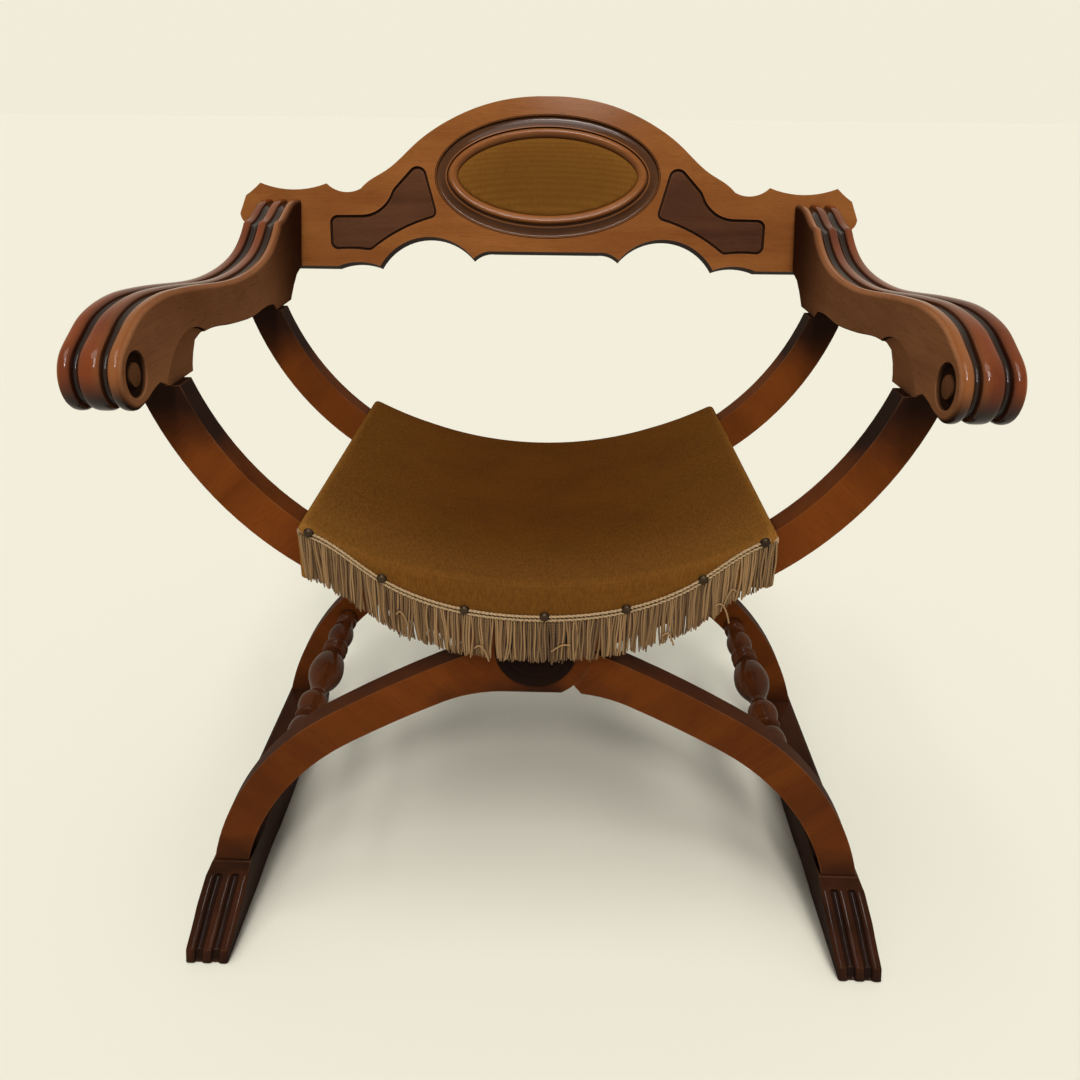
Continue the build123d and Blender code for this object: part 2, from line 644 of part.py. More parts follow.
def hook_plate(grow=0.0):
    """The plate let into the arm's rear end, without its tongue."""
    half = HOOK_PLATE_WIDE / 2 + grow
    low, high = HOOK_PLATE_V
    face = oblong((HOOK_U - half, HOOK_U + half), (low - grow, high + grow))
    return crest_slab(face, CREST_GAP + PLATE_THICK + grow, -CREST_GAP + grow)


def hook():
    """The right arm's hook: a plate, a neck that leaves it and a tongue that turns up."""
    across = (HOOK_U - TONGUE_WIDE / 2, HOOK_U + TONGUE_WIDE / 2)
    near = PLATE_THICK + TONGUE_SLACK
    neck = oblong(across, (TONGUE_V[0], TONGUE_V[0] + HOOK_NECK))
    solid = hook_plate() + crest_slab(neck, CREST_GAP + PAST, near + TONGUE_THICK)
    return solid + crest_slab(oblong(across, TONGUE_V), -near, near + TONGUE_THICK)


def hook_screws():
    return [screw(HOOK_U, v, CREST_GAP, -1) for v in HOOK_SCREWS_V]


def make_fittings():
    plate = hook()
    screws = hook_screws()
    for piece in screws:
        plate -= piece
    save(plate, "arm_hook_right")
    save(other_side(plate), "arm_hook_left")
    save(Compound(children=screws), "arm_hook_screws_right")
    save(Compound(children=[other_side(piece) for piece in screws]), "arm_hook_screws_left")


# ---- Seat ---------------------------------------------------------------------------

def underside():
    """Right half of the seat's underside, which is shaped to the legs' upper edges."""
    reach = range(int(GUSSET_S), int(END_S))
    last = next(s for s in reach if leg_edge(s, 1, SEAT_GAP)[0] > SEAT_HALF - PAST)
    count = 8
    stations = [GUSSET_S + (last - GUSSET_S) * i / count for i in range(count + 1)]
    curve = [leg_edge(s, 1, SEAT_GAP) for s in stations]
    return [(GUSSET_X, HUB_FLAT + SEAT_GAP)] + curve


def seat_face(inset, top_mid, top_edge):
    """Cross-section of the seat below an arc, between its two sides."""
    right = [(x, z + PIVOT_Z) for x, z in underside()]
    left = [(-x, z) for x, z in reversed(right)]
    half = right[-1][0]
    high = SEAT_EDGE_Z + SEAT_HALF
    curve = [Spline(*left[:-1]), Polyline(left[-2], left[-1], right[0], right[1]), Spline(*right[1:])]
    body = make_face(curve + [Polyline(right[-1], (half, high), (-half, high), left[0])])
    below = Polyline((SEAT_HALF, top_edge), (SEAT_HALF, PIVOT_Z),
                     (-SEAT_HALF, PIVOT_Z), (-SEAT_HALF, top_edge))
    top = make_face([dish(SEAT_HALF, top_edge, top_mid), below])
    sides = Pos(0, SEAT_EDGE_Z) * Rectangle(2 * (half - inset), SEAT_EDGE_Z)
    return body & top & sides


def trim_curve(drop):
    """The trim's line across the seat's front, lowered by drop."""
    points = [(-x, z) for x, z in reversed(TRIM_LINE[1:])] + TRIM_LINE
    return Spline(*[(x, z - drop) for x, z in points])


def trim_band(above, below, y0, y1):
    """A strip that follows the trim's line, from above it to below it."""
    top, low = trim_curve(-above), trim_curve(below)
    edges = [top, Line(top @ 1, low @ 1), low, Line(low @ 0, top @ 0)]
    return slab(make_face(edges), y0, y1)


def make_seat():
    outer = seat_face(0.0, SEAT_MID_Z, SEAT_EDGE_Z)
    inner = seat_face(VELVET, SEAT_MID_Z - VELVET, SEAT_EDGE_Z - VELVET)
    board = seat_face(VELVET, BOARD_MID_Z, BOARD_EDGE_Z)
    front, back = SEAT_FRONT + VELVET, SEAT_BACK - VELVET
    save(slab(board, front, back), "seat_board")
    save(slab(inner - board, front, back), "seat_pad")
    save(slab(outer, SEAT_FRONT, SEAT_BACK) - slab(inner, front, back), "seat_cover")
    save(trim_band(BRAID_ABOVE, BRAID_BELOW, SEAT_FRONT - BRAID_THICK, SEAT_FRONT), "fringe_braid")
    save(trim_band(-BRAID_BELOW, FRINGE_DROP, SEAT_FRONT - BRAID_THICK, SEAT_FRONT - FRINGE_GAP), "fringe")
    dome = [(0.0, 0.0)] + [(-NAIL_PROUD * high, NAIL_RADIUS * wide) for wide, high in NAIL_DOME]
    nails = [Pos(x, 0, 0) * turned(dome, SEAT_FRONT - BRAID_THICK, z) for x, z in NAILS]
    save(Compound(children=nails), "dome_nails")


make_legs()
make_pivots()
make_arms()
make_runners()
make_stretchers()
make_crest()
make_fittings()
make_seat()
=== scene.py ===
"""Folding Savonarola armchair, dressed: the finish of every surface and the carved, turned, upholstered
and fringed pieces, as an add-on that is run as a script.

Shapes are drawn in millimetres, with Y measured from the front face of the front legs, and placed()
brings each finished mesh to the frame's metres.
"""

import json
import math
import random

import bmesh
import bpy
import numpy as np
from bpy.props import FloatProperty, FloatVectorProperty, IntProperty, PointerProperty
from mathutils import Matrix, Vector

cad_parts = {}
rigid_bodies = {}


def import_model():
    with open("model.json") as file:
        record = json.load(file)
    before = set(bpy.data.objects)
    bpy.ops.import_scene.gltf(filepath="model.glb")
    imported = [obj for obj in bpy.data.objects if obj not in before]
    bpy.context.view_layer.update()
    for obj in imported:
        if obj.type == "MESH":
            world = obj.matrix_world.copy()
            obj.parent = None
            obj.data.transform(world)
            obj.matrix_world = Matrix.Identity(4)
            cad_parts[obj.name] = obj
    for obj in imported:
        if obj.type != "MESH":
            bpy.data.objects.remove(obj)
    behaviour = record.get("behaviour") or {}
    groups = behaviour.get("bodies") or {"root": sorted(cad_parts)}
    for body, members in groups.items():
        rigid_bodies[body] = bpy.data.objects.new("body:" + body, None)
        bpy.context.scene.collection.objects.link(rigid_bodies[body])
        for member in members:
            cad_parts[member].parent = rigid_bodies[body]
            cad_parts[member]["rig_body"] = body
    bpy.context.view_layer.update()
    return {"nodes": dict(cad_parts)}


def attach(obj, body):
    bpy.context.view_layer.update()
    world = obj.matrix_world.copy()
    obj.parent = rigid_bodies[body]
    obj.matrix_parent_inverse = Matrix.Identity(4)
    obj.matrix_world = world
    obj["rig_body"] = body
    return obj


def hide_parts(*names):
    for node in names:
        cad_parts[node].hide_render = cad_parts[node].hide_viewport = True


bl_info = {
    "name": "Folding Savonarola Armchair",
    "version": (1, 0, 0),
    "blender": (4, 5, 0),
    "location": "View3D > Sidebar > Armchair",
    "description": "Dresses the armchair: lacquered wood, carved arms, velvet seat, fringe and nails",
    "category": "Add Mesh",
}

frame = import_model()

# ---- Driving dimensions, in millimetres ---------------------------------------------

MID_DEPTH = 200.5          # from the front legs' front face back to the chair's middle
TO_FRAME = Matrix.Scale(0.001, 4) @ Matrix.Translation((0, -MID_DEPTH, 0))

LEG_THICK = 25.0
REAR_LEG_Y = 294.0
REAR_FACE_Y = REAR_LEG_Y + LEG_THICK
PIVOT_Z = 334.0
LEG_EASE = 1.3

# arms: side outline as Y and Z
ARM_INNER_X = 288.0
ARM_OUTER_FRONT = 334.0
ARM_OUTER_REAR = 330.0
ARM_FRONT_Y = -88.0
SCROLL = (-62.0, 599.0)
SCROLL_RADIUS = 26.0
SCROLL_TURN = 125.0
SCROLL_FORMS_Y = (20.0, -100.0)   # between which the flutes grow narrow and the middle reed broad
ARM_RISE = [(408, 675.2), (396.5, 673.6), (385, 670.4), (366, 664), (355, 661.2)]
ARM_TOP = [(341, 659.5), (328, 650.5), (311, 641.5), (291, 634.5), (265, 629.5), (238, 626.8), (208, 625.8),
           (170, 627), (130, 631), (82, 637.3), (38, 642), (18, 643.4), (-1, 643.4), (-21, 641.8),
           (-34, 639.6), (-47, 635.8), (-62, 628.6)]
ARM_THROAT = [(-47, 576), (-36, 580), (-25, 582.5)]
ARM_CORBEL = [(-12, 577), (0, 573.5), (44, 573.5), (46, 579), (51, 587), (60, 596), (74, 598.5)]
ARM_UNDER = [(74, 598.5), (98, 597.5), (135, 592), (177, 586.5), (215, 583.5), (260, 584), (282, 581.5)]
ARM_HEEL = [(292, 573.5), (350, 573.5), (357, 579), (367, 586.5), (384, 596.5)]
ARM_LEAF = [(80, 599), (24, 604), (-14, 576)]
LEAF_DEEP = 3.0
EYE_RADIUS = 17.0
EYE_BUTTON = 8.5
EYE_DEEP = 4.0
EYE_LIP = 0.8

# reeds: width and depth of a flute, and how far the outer edge falls away
ARM_REEDS = (8.0, 5.8, 4.6)
PAW_REEDS = (7.4, 4.4, 3.0)
REED_RIM = 0.52            # depth of a flute's rim, as a share of the flute's
REED_FULL = (2.5, 3.4)     # fullness of the outer reeds and of the middle one
FLUTE_NARROWS = 0.36       # share that a flute loses round the volute
MIDDLE_GROWS = 0.11        # share of the three that the middle reed gains there

# runners: side outline as Y and Z, without its hollows
RUNNER_TOP_Z = 79.4
TOE_Y = -61.0
COLLAR_Y = -4.0
COLLAR_Z = 73.0
RUNNER_X = ((301.0, 286.0), (343.0, 323.5))     # inner and outer side, each low and high
RELIEF = 4.5
RELIEF_FROM = 46.0
RELIEF_TO = 133.0
PAW_FLARE = 5.5

# stretchers and rosettes
STRETCHER_X = 240.0
STRETCHER_Z = 191.0
TENON = 10.0
ROSETTE_RINGS = [(0, 36.4), (1.4, 36.5), (2.3, 36.1), (2.7, 35.2), (2.2, 34.2), (2.0, 33.4), (2.6, 32.2),
                 (3.0, 30.6), (2.6, 29.2), (1.8, 28.2), (1.7, 26.6), (2.5, 25.6), (3.3, 24.4), (3.5, 23),
                 (3.1, 21.6), (2.1, 20.4), (1.8, 18.6), (2.4, 17.4), (3.2, 16.2), (3.3, 14.8), (2.7, 13.6),
                 (2.0, 12.6), (2.1, 10.6), (3.0, 9.2), (3.6, 7), (3.9, 4), (4.0, 0)]

# crest board, where v runs up the board
RAKE = math.radians(19.0)
CREST_Y = 406.3
CREST_Z = 601.5
CREST_GAP = 0.4
CREST_EASE = 1.1
ARM_REAR_HIGH = 77.6
OVAL_V = 106.0
OVAL_COVE = (131.5, 70.4)
PANEL_DEEP = 3.0
FITTING_X = (292.0, 328.0)     # between which the catch plates are let in, from below
FITTING_HIGH = 52.0
# the panels' grooves and shoulders: each step's width and rise, how dark (painted shade) and how stippled it
# ends
PANEL_STEPS = [(0.0, 0.0, 1.0, 0.4), (2.1, 0.0, 1.0, 0.4), (0.5, 0.9, 0.6, 0.6), (0.6, 0.6, 0.0, 0.72),
               (0.7, 0.2, 0.0, 1.0)]
# section of the oval moulding: how far in from the cove's rim, and in front of the board
MOULDING = [(0.3, -3.9), (0.5, -0.5), (1.1, -0.1), (1.7, -0.9), (2.3, -2.8), (3.2, -3.6), (4.4, -3.7),
            (6.5, -3.5), (9.0, -2.9), (11.6, -1.8), (13.2, -0.9), (13.9, -0.7), (14.3, -1.5), (14.9, -2.2),
            (15.7, -1.9), (16.0, -0.4), (16.6, 1.1), (17.8, 2.3), (19.4, 2.9), (21.2, 2.7), (23.2, 1.9),
            (25.0, 0.7), (26.4, -0.6), (27.0, -2.2), (27.0, -3.9)]
COVE_IN = 15.6
BEAD_IN = 1.15
BEAD_RADIUS = 0.75
PAD_RIM = [(26.0, -6.0), (26.3, -2.5), (26.7, -1.2), (27.3, -0.4), (28.4, 0.3), (30.0, 0.8)]
PAD_CROWN = 2.2

# seat and trim
SEAT_HALF = 199.0
SEAT_FRONT = -22.0
SEAT_BACK = 339.0
SEAT_MID_Z = 414.0
SEAT_EDGE_Z = 466.0
SEAT_BLOCK = 36.0          # thickness of the block that becomes the padding
CORNER_ROUND = 9.0         # of the velvet's corners, seen from above
TRIM_LINE = [(0, 383), (68, 390.5), (134.5, 420), (186, 457.5), (197, 461.5)]
NAILS = [(-186.5, 458), (-129, 417), (-60.5, 388.5), (7.5, 383.5), (76.5, 392.5), (138.5, 422), (185.5, 457)]
NAIL_RADIUS = 3.9
NAIL_DOME = 2.3
BRAID_HALF = 190.0         # half the length of its cords
BRAID_ABOVE = 1.5
BRAID_BELOW = 6.0
TUCKED = 1.5               # how far the strands run up behind the braid
FRINGE_DROP = 45.0
# threads that have come astray: x, z, reach and fall
STRAY_THREADS = [(-52, 352, 12, -13), (14, 350, 16, 7), (-118, 384, 9, -10), (108, 368, 10, -9),
                 (150, 398, 13, -16), (166, 412, -9, -14)]


# ---- Settings -----------------------------------------------------------------------

def colour(name, words, value):
    return FloatVectorProperty(name=name, description=words, default=value, subtype="COLOR", min=0, max=1)


class WoodSettings(bpy.types.PropertyGroup):
    """Colours of the stained and lacquered wood."""

    leg_light: colour("Leg, light", "Light figure of the legs", (0.215, 0.053, 0.0075))
    leg_dark: colour("Leg, dark", "Dark figure of the legs", (0.128, 0.030, 0.0048))
    arm_light: colour("Reed, light", "Light figure of the arms' reeds", (0.218, 0.042, 0.0045))
    arm_dark: colour("Reed, dark", "Dark figure of the arms' reeds", (0.102, 0.017, 0.0022))
    reed_worn: colour("Reed, worn", "Inner reeds of the arms, worn by hands", (0.33, 0.118, 0.030))
    side_light: colour("Arm side, light", "Light figure of the arms' flat sides", (0.44, 0.188, 0.080))
    side_dark: colour("Arm side, dark", "Dark figure of the arms' flat sides", (0.288, 0.112, 0.047))
    crest_light: colour("Crest, light", "Light figure of the crest board", (0.305, 0.108, 0.027))
    crest_dark: colour("Crest, dark", "Dark figure of the crest board", (0.198, 0.061, 0.0145))
    ground_light: colour("Ground, light", "Light figure of the stippled grounds", (0.115, 0.045, 0.021))
    ground_dark: colour("Ground, dark", "Dark figure of the stippled grounds", (0.055, 0.020, 0.010))
    foot_light: colour("Foot, light", "Light figure of the runners", (0.050, 0.015, 0.006))
    foot_dark: colour("Foot, dark", "Dark figure of the runners", (0.014, 0.005, 0.0025))
    turning_light: colour("Turning, light", "Light figure of the stretchers", (0.100, 0.027, 0.007))
    turning_dark: colour("Turning, dark", "Dark figure of the stretchers", (0.026, 0.007, 0.003))
    # Also the colour of the painted shade below the wood and on the legs.
    patina_and_shade: colour("Patina", "Dark polish left in hollows", (0.010, 0.005, 0.004))
    rubbed: colour("Rubbed edge", "Where the stain is rubbed off the edges", (0.38, 0.17, 0.075))


class FabricSettings(bpy.types.PropertyGroup):
    """Colours of the velvet, the fringe and the nails."""

    velvet: colour("Velvet", "Pile of the velvet", (0.118, 0.040, 0.0062))
    velvet_deep: colour("Velvet, deep", "Pile seen from above", (0.045, 0.0135, 0.0027))
    # Lighter pile where it is worn, and the colour of the sheen painted on the seat.
    velvet_worn_and_sheen: colour("Velvet, rubbed", "Pile worn along the edges", (0.27, 0.115, 0.021))
    oval_velvet: colour("Oval velvet", "Pile of the oval pad", (0.17, 0.076, 0.014))
    strand: colour("Fringe", "Cotton of the fringe", (0.33, 0.194, 0.084))
    strand_deep: colour("Fringe, deep", "Darker cotton of the fringe", (0.07, 0.033, 0.013))
    braid: colour("Braid", "Cotton of the braid's cords", (0.46, 0.31, 0.165))
    nail: colour("Nails", "Antique brass of the nails", (0.055, 0.036, 0.022))
    strand_radius: FloatProperty(name="Strand radius", description="Half the thickness of one strand",
                                 default=0.00095, min=0, unit="LENGTH")
    strands: IntProperty(name="Strands", description="Strands in each layer", default=215, min=10, max=400)


class StageSettings(bpy.types.PropertyGroup):
    """Light, floor and camera."""

    floor: colour("Floor", "Colour of the floor and the background", (0.871, 0.839, 0.694))
    sky: FloatProperty(name="Sky", description="Strength of the light from all round", default=0.225, min=0)
    lens: FloatProperty(name="Lens", description="For a 36 mm sensor", default=30.68, unit="CAMERA")


# ---- Points and lines ---------------------------------------------------------------

def smooth_line(points, count):
    """Evenly spaced points on a natural cubic through the given ones."""
    p = np.array(points, float)
    s = np.concatenate([[0.0], np.cumsum(np.linalg.norm(np.diff(p, axis=0), axis=1))])
    h = np.diff(s)
    size = len(p)
    matrix = np.eye(size)
    right = np.zeros_like(p)
    for i in range(1, size - 1):
        matrix[i, i - 1:i + 2] = h[i - 1], 2 * (h[i - 1] + h[i]), h[i]
        right[i] = 6 * ((p[i + 1] - p[i]) / h[i] - (p[i] - p[i - 1]) / h[i - 1])
    bend = np.linalg.solve(matrix, right)
    t = np.linspace(0, s[-1], count)
    i = np.clip(np.searchsorted(s, t, side="right") - 1, 0, size - 2)
    step = h[i][:, None]
    ahead = (s[i + 1] - t)[:, None]
    behind = (t - s[i])[:, None]
    curve = (bend[i] * ahead ** 3 + bend[i + 1] * behind ** 3) / (6 * step)
    curve += (p[i] / step - bend[i] * step / 6) * ahead
    curve += (p[i + 1] / step - bend[i + 1] * step / 6) * behind
    return [tuple(row) for row in curve]


def straight(start, end, count):
    """Points from start up to, but without, end."""
    return [tuple(np.array(start) + (np.array(end) - np.array(start)) * k / count) for k in range(count)]


def corners(points):
    """Points along straight stretches between corners, without the last corner."""
    return [point for a, b in zip(points, points[1:]) for point in straight(a, b, 2)]


def arc(centre, radius, start, end, count):
    """Points on an arc, from one angle to another in degrees."""
    angles = [math.radians(start + (end - start) * k / (count - 1)) for k in range(count)]
    return [(centre[0] + radius * math.cos(a), centre[1] + radius * math.sin(a)) for a in angles]


def through(a, b, c, count):
    """Points on the arc from a through b to c."""
    a, b, c = (complex(*p) for p in (a, b, c))
    w = (c - a) / (b - a)
    centre = a + (b - a) * (w - abs(w) ** 2) / (w - w.conjugate())
    start, middle, end = (math.degrees(math.atan2((p - centre).imag, (p - centre).real)) for p in (a, b, c))
    if (middle - start) % 360 < (end - start) % 360:
        end = start + (end - start) % 360
    else:
        end = start - (start - end) % 360
    return arc((centre.real, centre.imag), abs(a - centre), start, end, count)


def inward(points):
    """Unit normals that point into a closed outline, one for each point."""
    p = np.array(points, float)
    along = np.roll(p, -1, axis=0) - np.roll(p, 1, axis=0)
    normal = np.stack([-along[:, 1], along[:, 0]], axis=1)
    normal /= np.linalg.norm(normal, axis=1)[:, None]
    area = np.sum(p[:, 0] * np.roll(p[:, 1], -1) - np.roll(p[:, 0], -1) * p[:, 1])
    return normal if area > 0 else -normal


def crest_point(u, v, front=0.0):
    """A place on the crest board: u across, v up the board, and this far in front of its face."""
    y = CREST_Y + v * math.sin(RAKE) - front * math.cos(RAKE)
    return (u, y, CREST_Z + v * math.cos(RAKE) + front * math.sin(RAKE))


def share_of(value, start, end):
    """How far a value lies from start to end, held between 0 and 1."""
    return min(1.0, max(0.0, (value - start) / (end - start)))


def drawn_place(vert):
    """A finished vertex's place in the millimetres of the drawing."""
    return vert.co.x * 1000, vert.co.y * 1000 + MID_DEPTH, vert.co.z * 1000


# ---- Meshes -------------------------------------------------------------------------

def loft(bm, rows, closed=True, caps=True, layers=None):
    """Skins rows of points, each with as many points as the next, and caps both ends.

    layers gives a value to each point by the name of its attribute.
    """
    around = len(rows[0]) + (1 if closed else 0)
    for name in layers or {}:
        if not bm.verts.layers.float.get(name):
            bm.verts.layers.float.new(name)
    named = {name: bm.verts.layers.float.get(name) for name in layers or {}}
    verts = bmesh.ops.create_grid(bm, x_segments=around - 1, y_segments=len(rows) - 1, size=1)["verts"]
    for r, row in enumerate(rows):
        for c in range(around):
            vert = verts[r * around + c]
            vert.co = row[c % len(row)]
            for name, layer in named.items():
                vert[layer] = layers[name][r][c % len(row)]
    if closed:
        bmesh.ops.remove_doubles(bm, verts=verts, dist=1e-4)
        verts = [vert for vert in verts if vert.is_valid]
    if caps:
        rims = {edge for vert in verts for edge in vert.link_edges if edge.is_boundary}
        bmesh.ops.holes_fill(bm, edges=list(rims), sides=0)


def turned(bm, profile, centre, steps=56, axis=(0, 1, 0)):
    """Spins points of (distance along the axis, radius) round a line through centre."""
    centre, axis = Vector(centre), Vector(axis)
    verts = [bm.verts.new(centre + axis * along + Vector((0, 0, radius))) for along, radius in profile]
    edges = [bm.edges.new(pair) for pair in zip(verts, verts[1:])]
    bmesh.ops.spin(bm, geom=verts + edges, cent=centre, axis=axis, angle=math.tau, steps=steps,
                   use_merge=True)
    bmesh.ops.remove_doubles(bm, verts=bm.verts, dist=1e-3)


def shown(bm, name, in_frame=False):
    """Makes a drawn bmesh an object in the frame's metres."""
    bmesh.ops.recalc_face_normals(bm, faces=bm.faces)
    if not in_frame:
        bm.transform(TO_FRAME)
    mesh = bpy.data.meshes.new(name)
    bm.to_mesh(mesh)
    bm.free()
    piece = bpy.data.objects.new(name, mesh)
    bpy.context.scene.collection.objects.link(piece)
    return piece


def placed(bm, name, body, material, nodes=(), flip=False, sharp=32.0, in_frame=False):
    """Turns a bmesh into a finished piece of the frame, which stands for these nodes."""
    if flip:
        bmesh.ops.scale(bm, vec=(-1, 1, 1), verts=bm.verts)
    piece = shown(bm, name, in_frame)
    piece.data.shade_smooth()
    piece.data.set_sharp_from_angle(angle=math.radians(sharp))
    piece.data.materials.append(material)
    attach(piece, body)
    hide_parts(*nodes)
    return piece


def weighted(piece):
    """Keeps flat faces flat beside their eased edges."""
    modifier = piece.modifiers.new("flat faces", "WEIGHTED_NORMAL")
    modifier.keep_sharp = True
    modifier.weight = 100


def apply_modifiers(piece):
    graph = bpy.context.evaluated_depsgraph_get()
    mesh = bpy.data.meshes.new_from_object(piece.evaluated_get(graph))
    piece.modifiers.clear()
    piece.data = mesh


def carve(piece, cutters):
    """Cuts other meshes out of a piece, and removes them."""
    for cutter in cutters:
        modifier = piece.modifiers.new("cut", "BOOLEAN")
        modifier.object = cutter
        modifier.solver = "EXACT"
    apply_modifiers(piece)
    for cutter in cutters:
        bpy.data.objects.remove(cutter)


def eased_copy(node, name, material, width, keep=None, carving=None):
    """A copy of a CAD node with its corners eased, after any carving."""
    bm = bmesh.new()
    bm.from_mesh(frame["nodes"][node].data)
    bmesh.ops.remove_doubles(bm, verts=bm.verts, dist=2e-6)
    bmesh.ops.dissolve_limit(bm, angle_limit=math.radians(0.4), verts=bm.verts, edges=bm.edges)
    if carving:
        carving(bm)
    rims = []
    for edge in bm.edges:
        middle = (edge.verts[0].co + edge.verts[1].co) / 2
        sharp = len(edge.link_faces) == 2 and edge.calc_face_angle() > math.radians(28)
        if sharp and (not keep or keep(middle)):
            rims.append(edge)
    bmesh.ops.bevel(bm, geom=rims, offset=width * 0.001, offset_type="OFFSET", segments=3, profile=0.5,
                    affect="EDGES", clamp_overlap=True, material=-1)
    weighted(placed(bm, name, frame["nodes"][node]["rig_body"], material, [node], in_frame=True))


# ---- Shader trees -------------------------------------------------------------------

class Signal:
    """An output of a shader node. Sums and products of signals add Math nodes to their tree."""

    def __init__(self, socket):
        self.socket = socket
        self.tree = socket.id_data

    def math(self, operation, *others, clamp=False):
        return add(self.tree, "Math", dict(enumerate((self, *others))), operation=operation, use_clamp=clamp)

    def __add__(self, other):
        return self.math("ADD", other)

    def __mul__(self, other):
        return self.math("MULTIPLY", other)

    def __rsub__(self, other):
        return add(self.tree, "Math", {0: other, 1: self}, operation="SUBTRACT")

    def part(self, axis):
        return add(self.tree, "SeparateXYZ", {0: self}, output=axis)

    def ramp(self, low, high):
        """Rises smoothly from 0 at low to 1 at high."""
        inputs = {"Value": self, "From Min": low, "From Max": high}
        return add(self.tree, "MapRange", inputs, interpolation_type="SMOOTHSTEP")

    def mix(self, a, b):
        """Colour a, mixed towards colour b by this signal."""
        return add(self.tree, "Mix", {0: self, 6: a, 7: b}, output=2, data_type="RGBA")

    def bumps(self, strength, distance):
        return add(self.tree, "Bump", {"Height": self, "Strength": strength, "Distance": distance})


def connect(tree, value, socket):
    """Links a signal to a socket, or sets the socket to a value."""
    if isinstance(value, Signal):
        tree.links.new(value.socket, socket)
    elif socket.type == "RGBA":
        socket.default_value = (*value[:3], 1.0)
    else:
        socket.default_value = value


def add(tree, kind, inputs=None, output=0, **settings):
    """Adds a shader node with its inputs and settings, and gives one of its outputs."""
    node = tree.nodes.new(f"ShaderNode{kind}")
    for name, value in settings.items():
        setattr(node, name, value)
    for name, value in (inputs or {}).items():
        connect(tree, value, node.inputs[name])
    return Signal(node.outputs[output])


def noise(tree, vector, scale, detail=2.0, stretch=None, **more):
    """Soft noise, whose pattern may first be squeezed by stretch along each axis."""
    if stretch:
        vector = add(tree, "Mapping", {"Vector": vector, "Scale": stretch})
    return add(tree, "TexNoise", {"Vector": vector, "Scale": scale, "Detail": detail, **more})


def attribute(tree, name):
    return add(tree, "Attribute", output="Fac", attribute_name=name)


def object_place(tree):
    return add(tree, "TexCoord", output="Object")


def normal(tree):
    return add(tree, "NewGeometry", output="Normal")


def shared(name, inputs, outputs):
    """Lays a function's nodes in a node group, built once and placed in each tree that calls for it."""
    def wrap(fill):
        def place(tree, *values):
            inner = bpy.data.node_groups.get(name)
            if not inner:
                inner = bpy.data.node_groups.new(name, "ShaderNodeTree")
                for sockets, way in ((inputs, "INPUT"), (outputs, "OUTPUT")):
                    for label, kind in sockets.items():
                        inner.interface.new_socket(label, in_out=way, socket_type=f"NodeSocket{kind}")
                given = inner.nodes.new("NodeGroupInput").outputs
                made = fill(inner, *(Signal(given[label]) for label in inputs))
                end = inner.nodes.new("NodeGroupOutput").inputs
                for label, signal in zip(outputs, made if isinstance(made, tuple) else (made,)):
                    connect(inner, signal, end[label])
            node = tree.nodes.new("ShaderNodeGroup")
            node.node_tree = inner
            for label, value in zip(inputs, values):
                connect(tree, value, node.inputs[label])
            results = [Signal(node.outputs[label]) for label in outputs]
            return results if len(results) > 1 else results[0]
        return place
    return wrap


@shared("wood figure", {"Vector": "Vector", "Light": "Color", "Dark": "Color"},
        {"Color": "Color", "Height": "Float"})
def wood_figure(tree, vector, light, dark):
    """Figure of stained wood whose grain runs along the vector's X, in metres."""
    broad = noise(tree, vector, 3.2, 3.0, (1.0, 7.0, 7.0), Roughness=0.55, Distortion=0.5)
    fibre = noise(tree, vector, 3.0, 4.0, (7.0, 210.0, 210.0), Roughness=0.65)
    pore = noise(tree, vector, 1.4, 1.0, (60.0, 1100.0, 1100.0)).ramp(0.58, 0.70)
    mottle = noise(tree, vector, 11.0, 4.0)
    share = broad * 0.9 + mottle * 0.5 + fibre * 0.3
    stained = share.ramp(0.52, 1.15).mix(dark, light)
    return (pore * 0.22).mix(stained, (0.02, 0.008, 0.004)), pore * -0.6 + fibre * 0.4


@shared("rubbed edges", {"Radius": "Float"}, {"Mask": "Float"})
def rubbed_edges(tree, radius):
    """Mask of the outer corners, broken up as by rubbing."""
    eased = add(tree, "Bevel", {"Radius": radius}, samples=4)
    turn = 1.0 - add(tree, "VectorMath", {0: eased, 1: normal(tree)}, output="Value",
                     operation="DOT_PRODUCT")
    open_air = add(tree, "AmbientOcclusion", {"Distance": radius}, output="AO", samples=4).ramp(0.75, 0.97)
    worn = noise(tree, object_place(tree), 28.0, 3.0).ramp(0.35, 0.65)
    return turn.ramp(0.01, 0.16) * open_air * (worn * 0.7 + 0.3)


@shared("hollows", {"Reach": "Float"}, {"Mask": "Float"})
def hollows(tree, reach):
    """Mask of hollows and corners, from ambient occlusion: painted shade, with the polish and dust that
    gather there.
    """
    near = add(tree, "AmbientOcclusion", {"Distance": reach}, output="AO", samples=6)
    return (1.0 - near).ramp(0.22, 0.80)


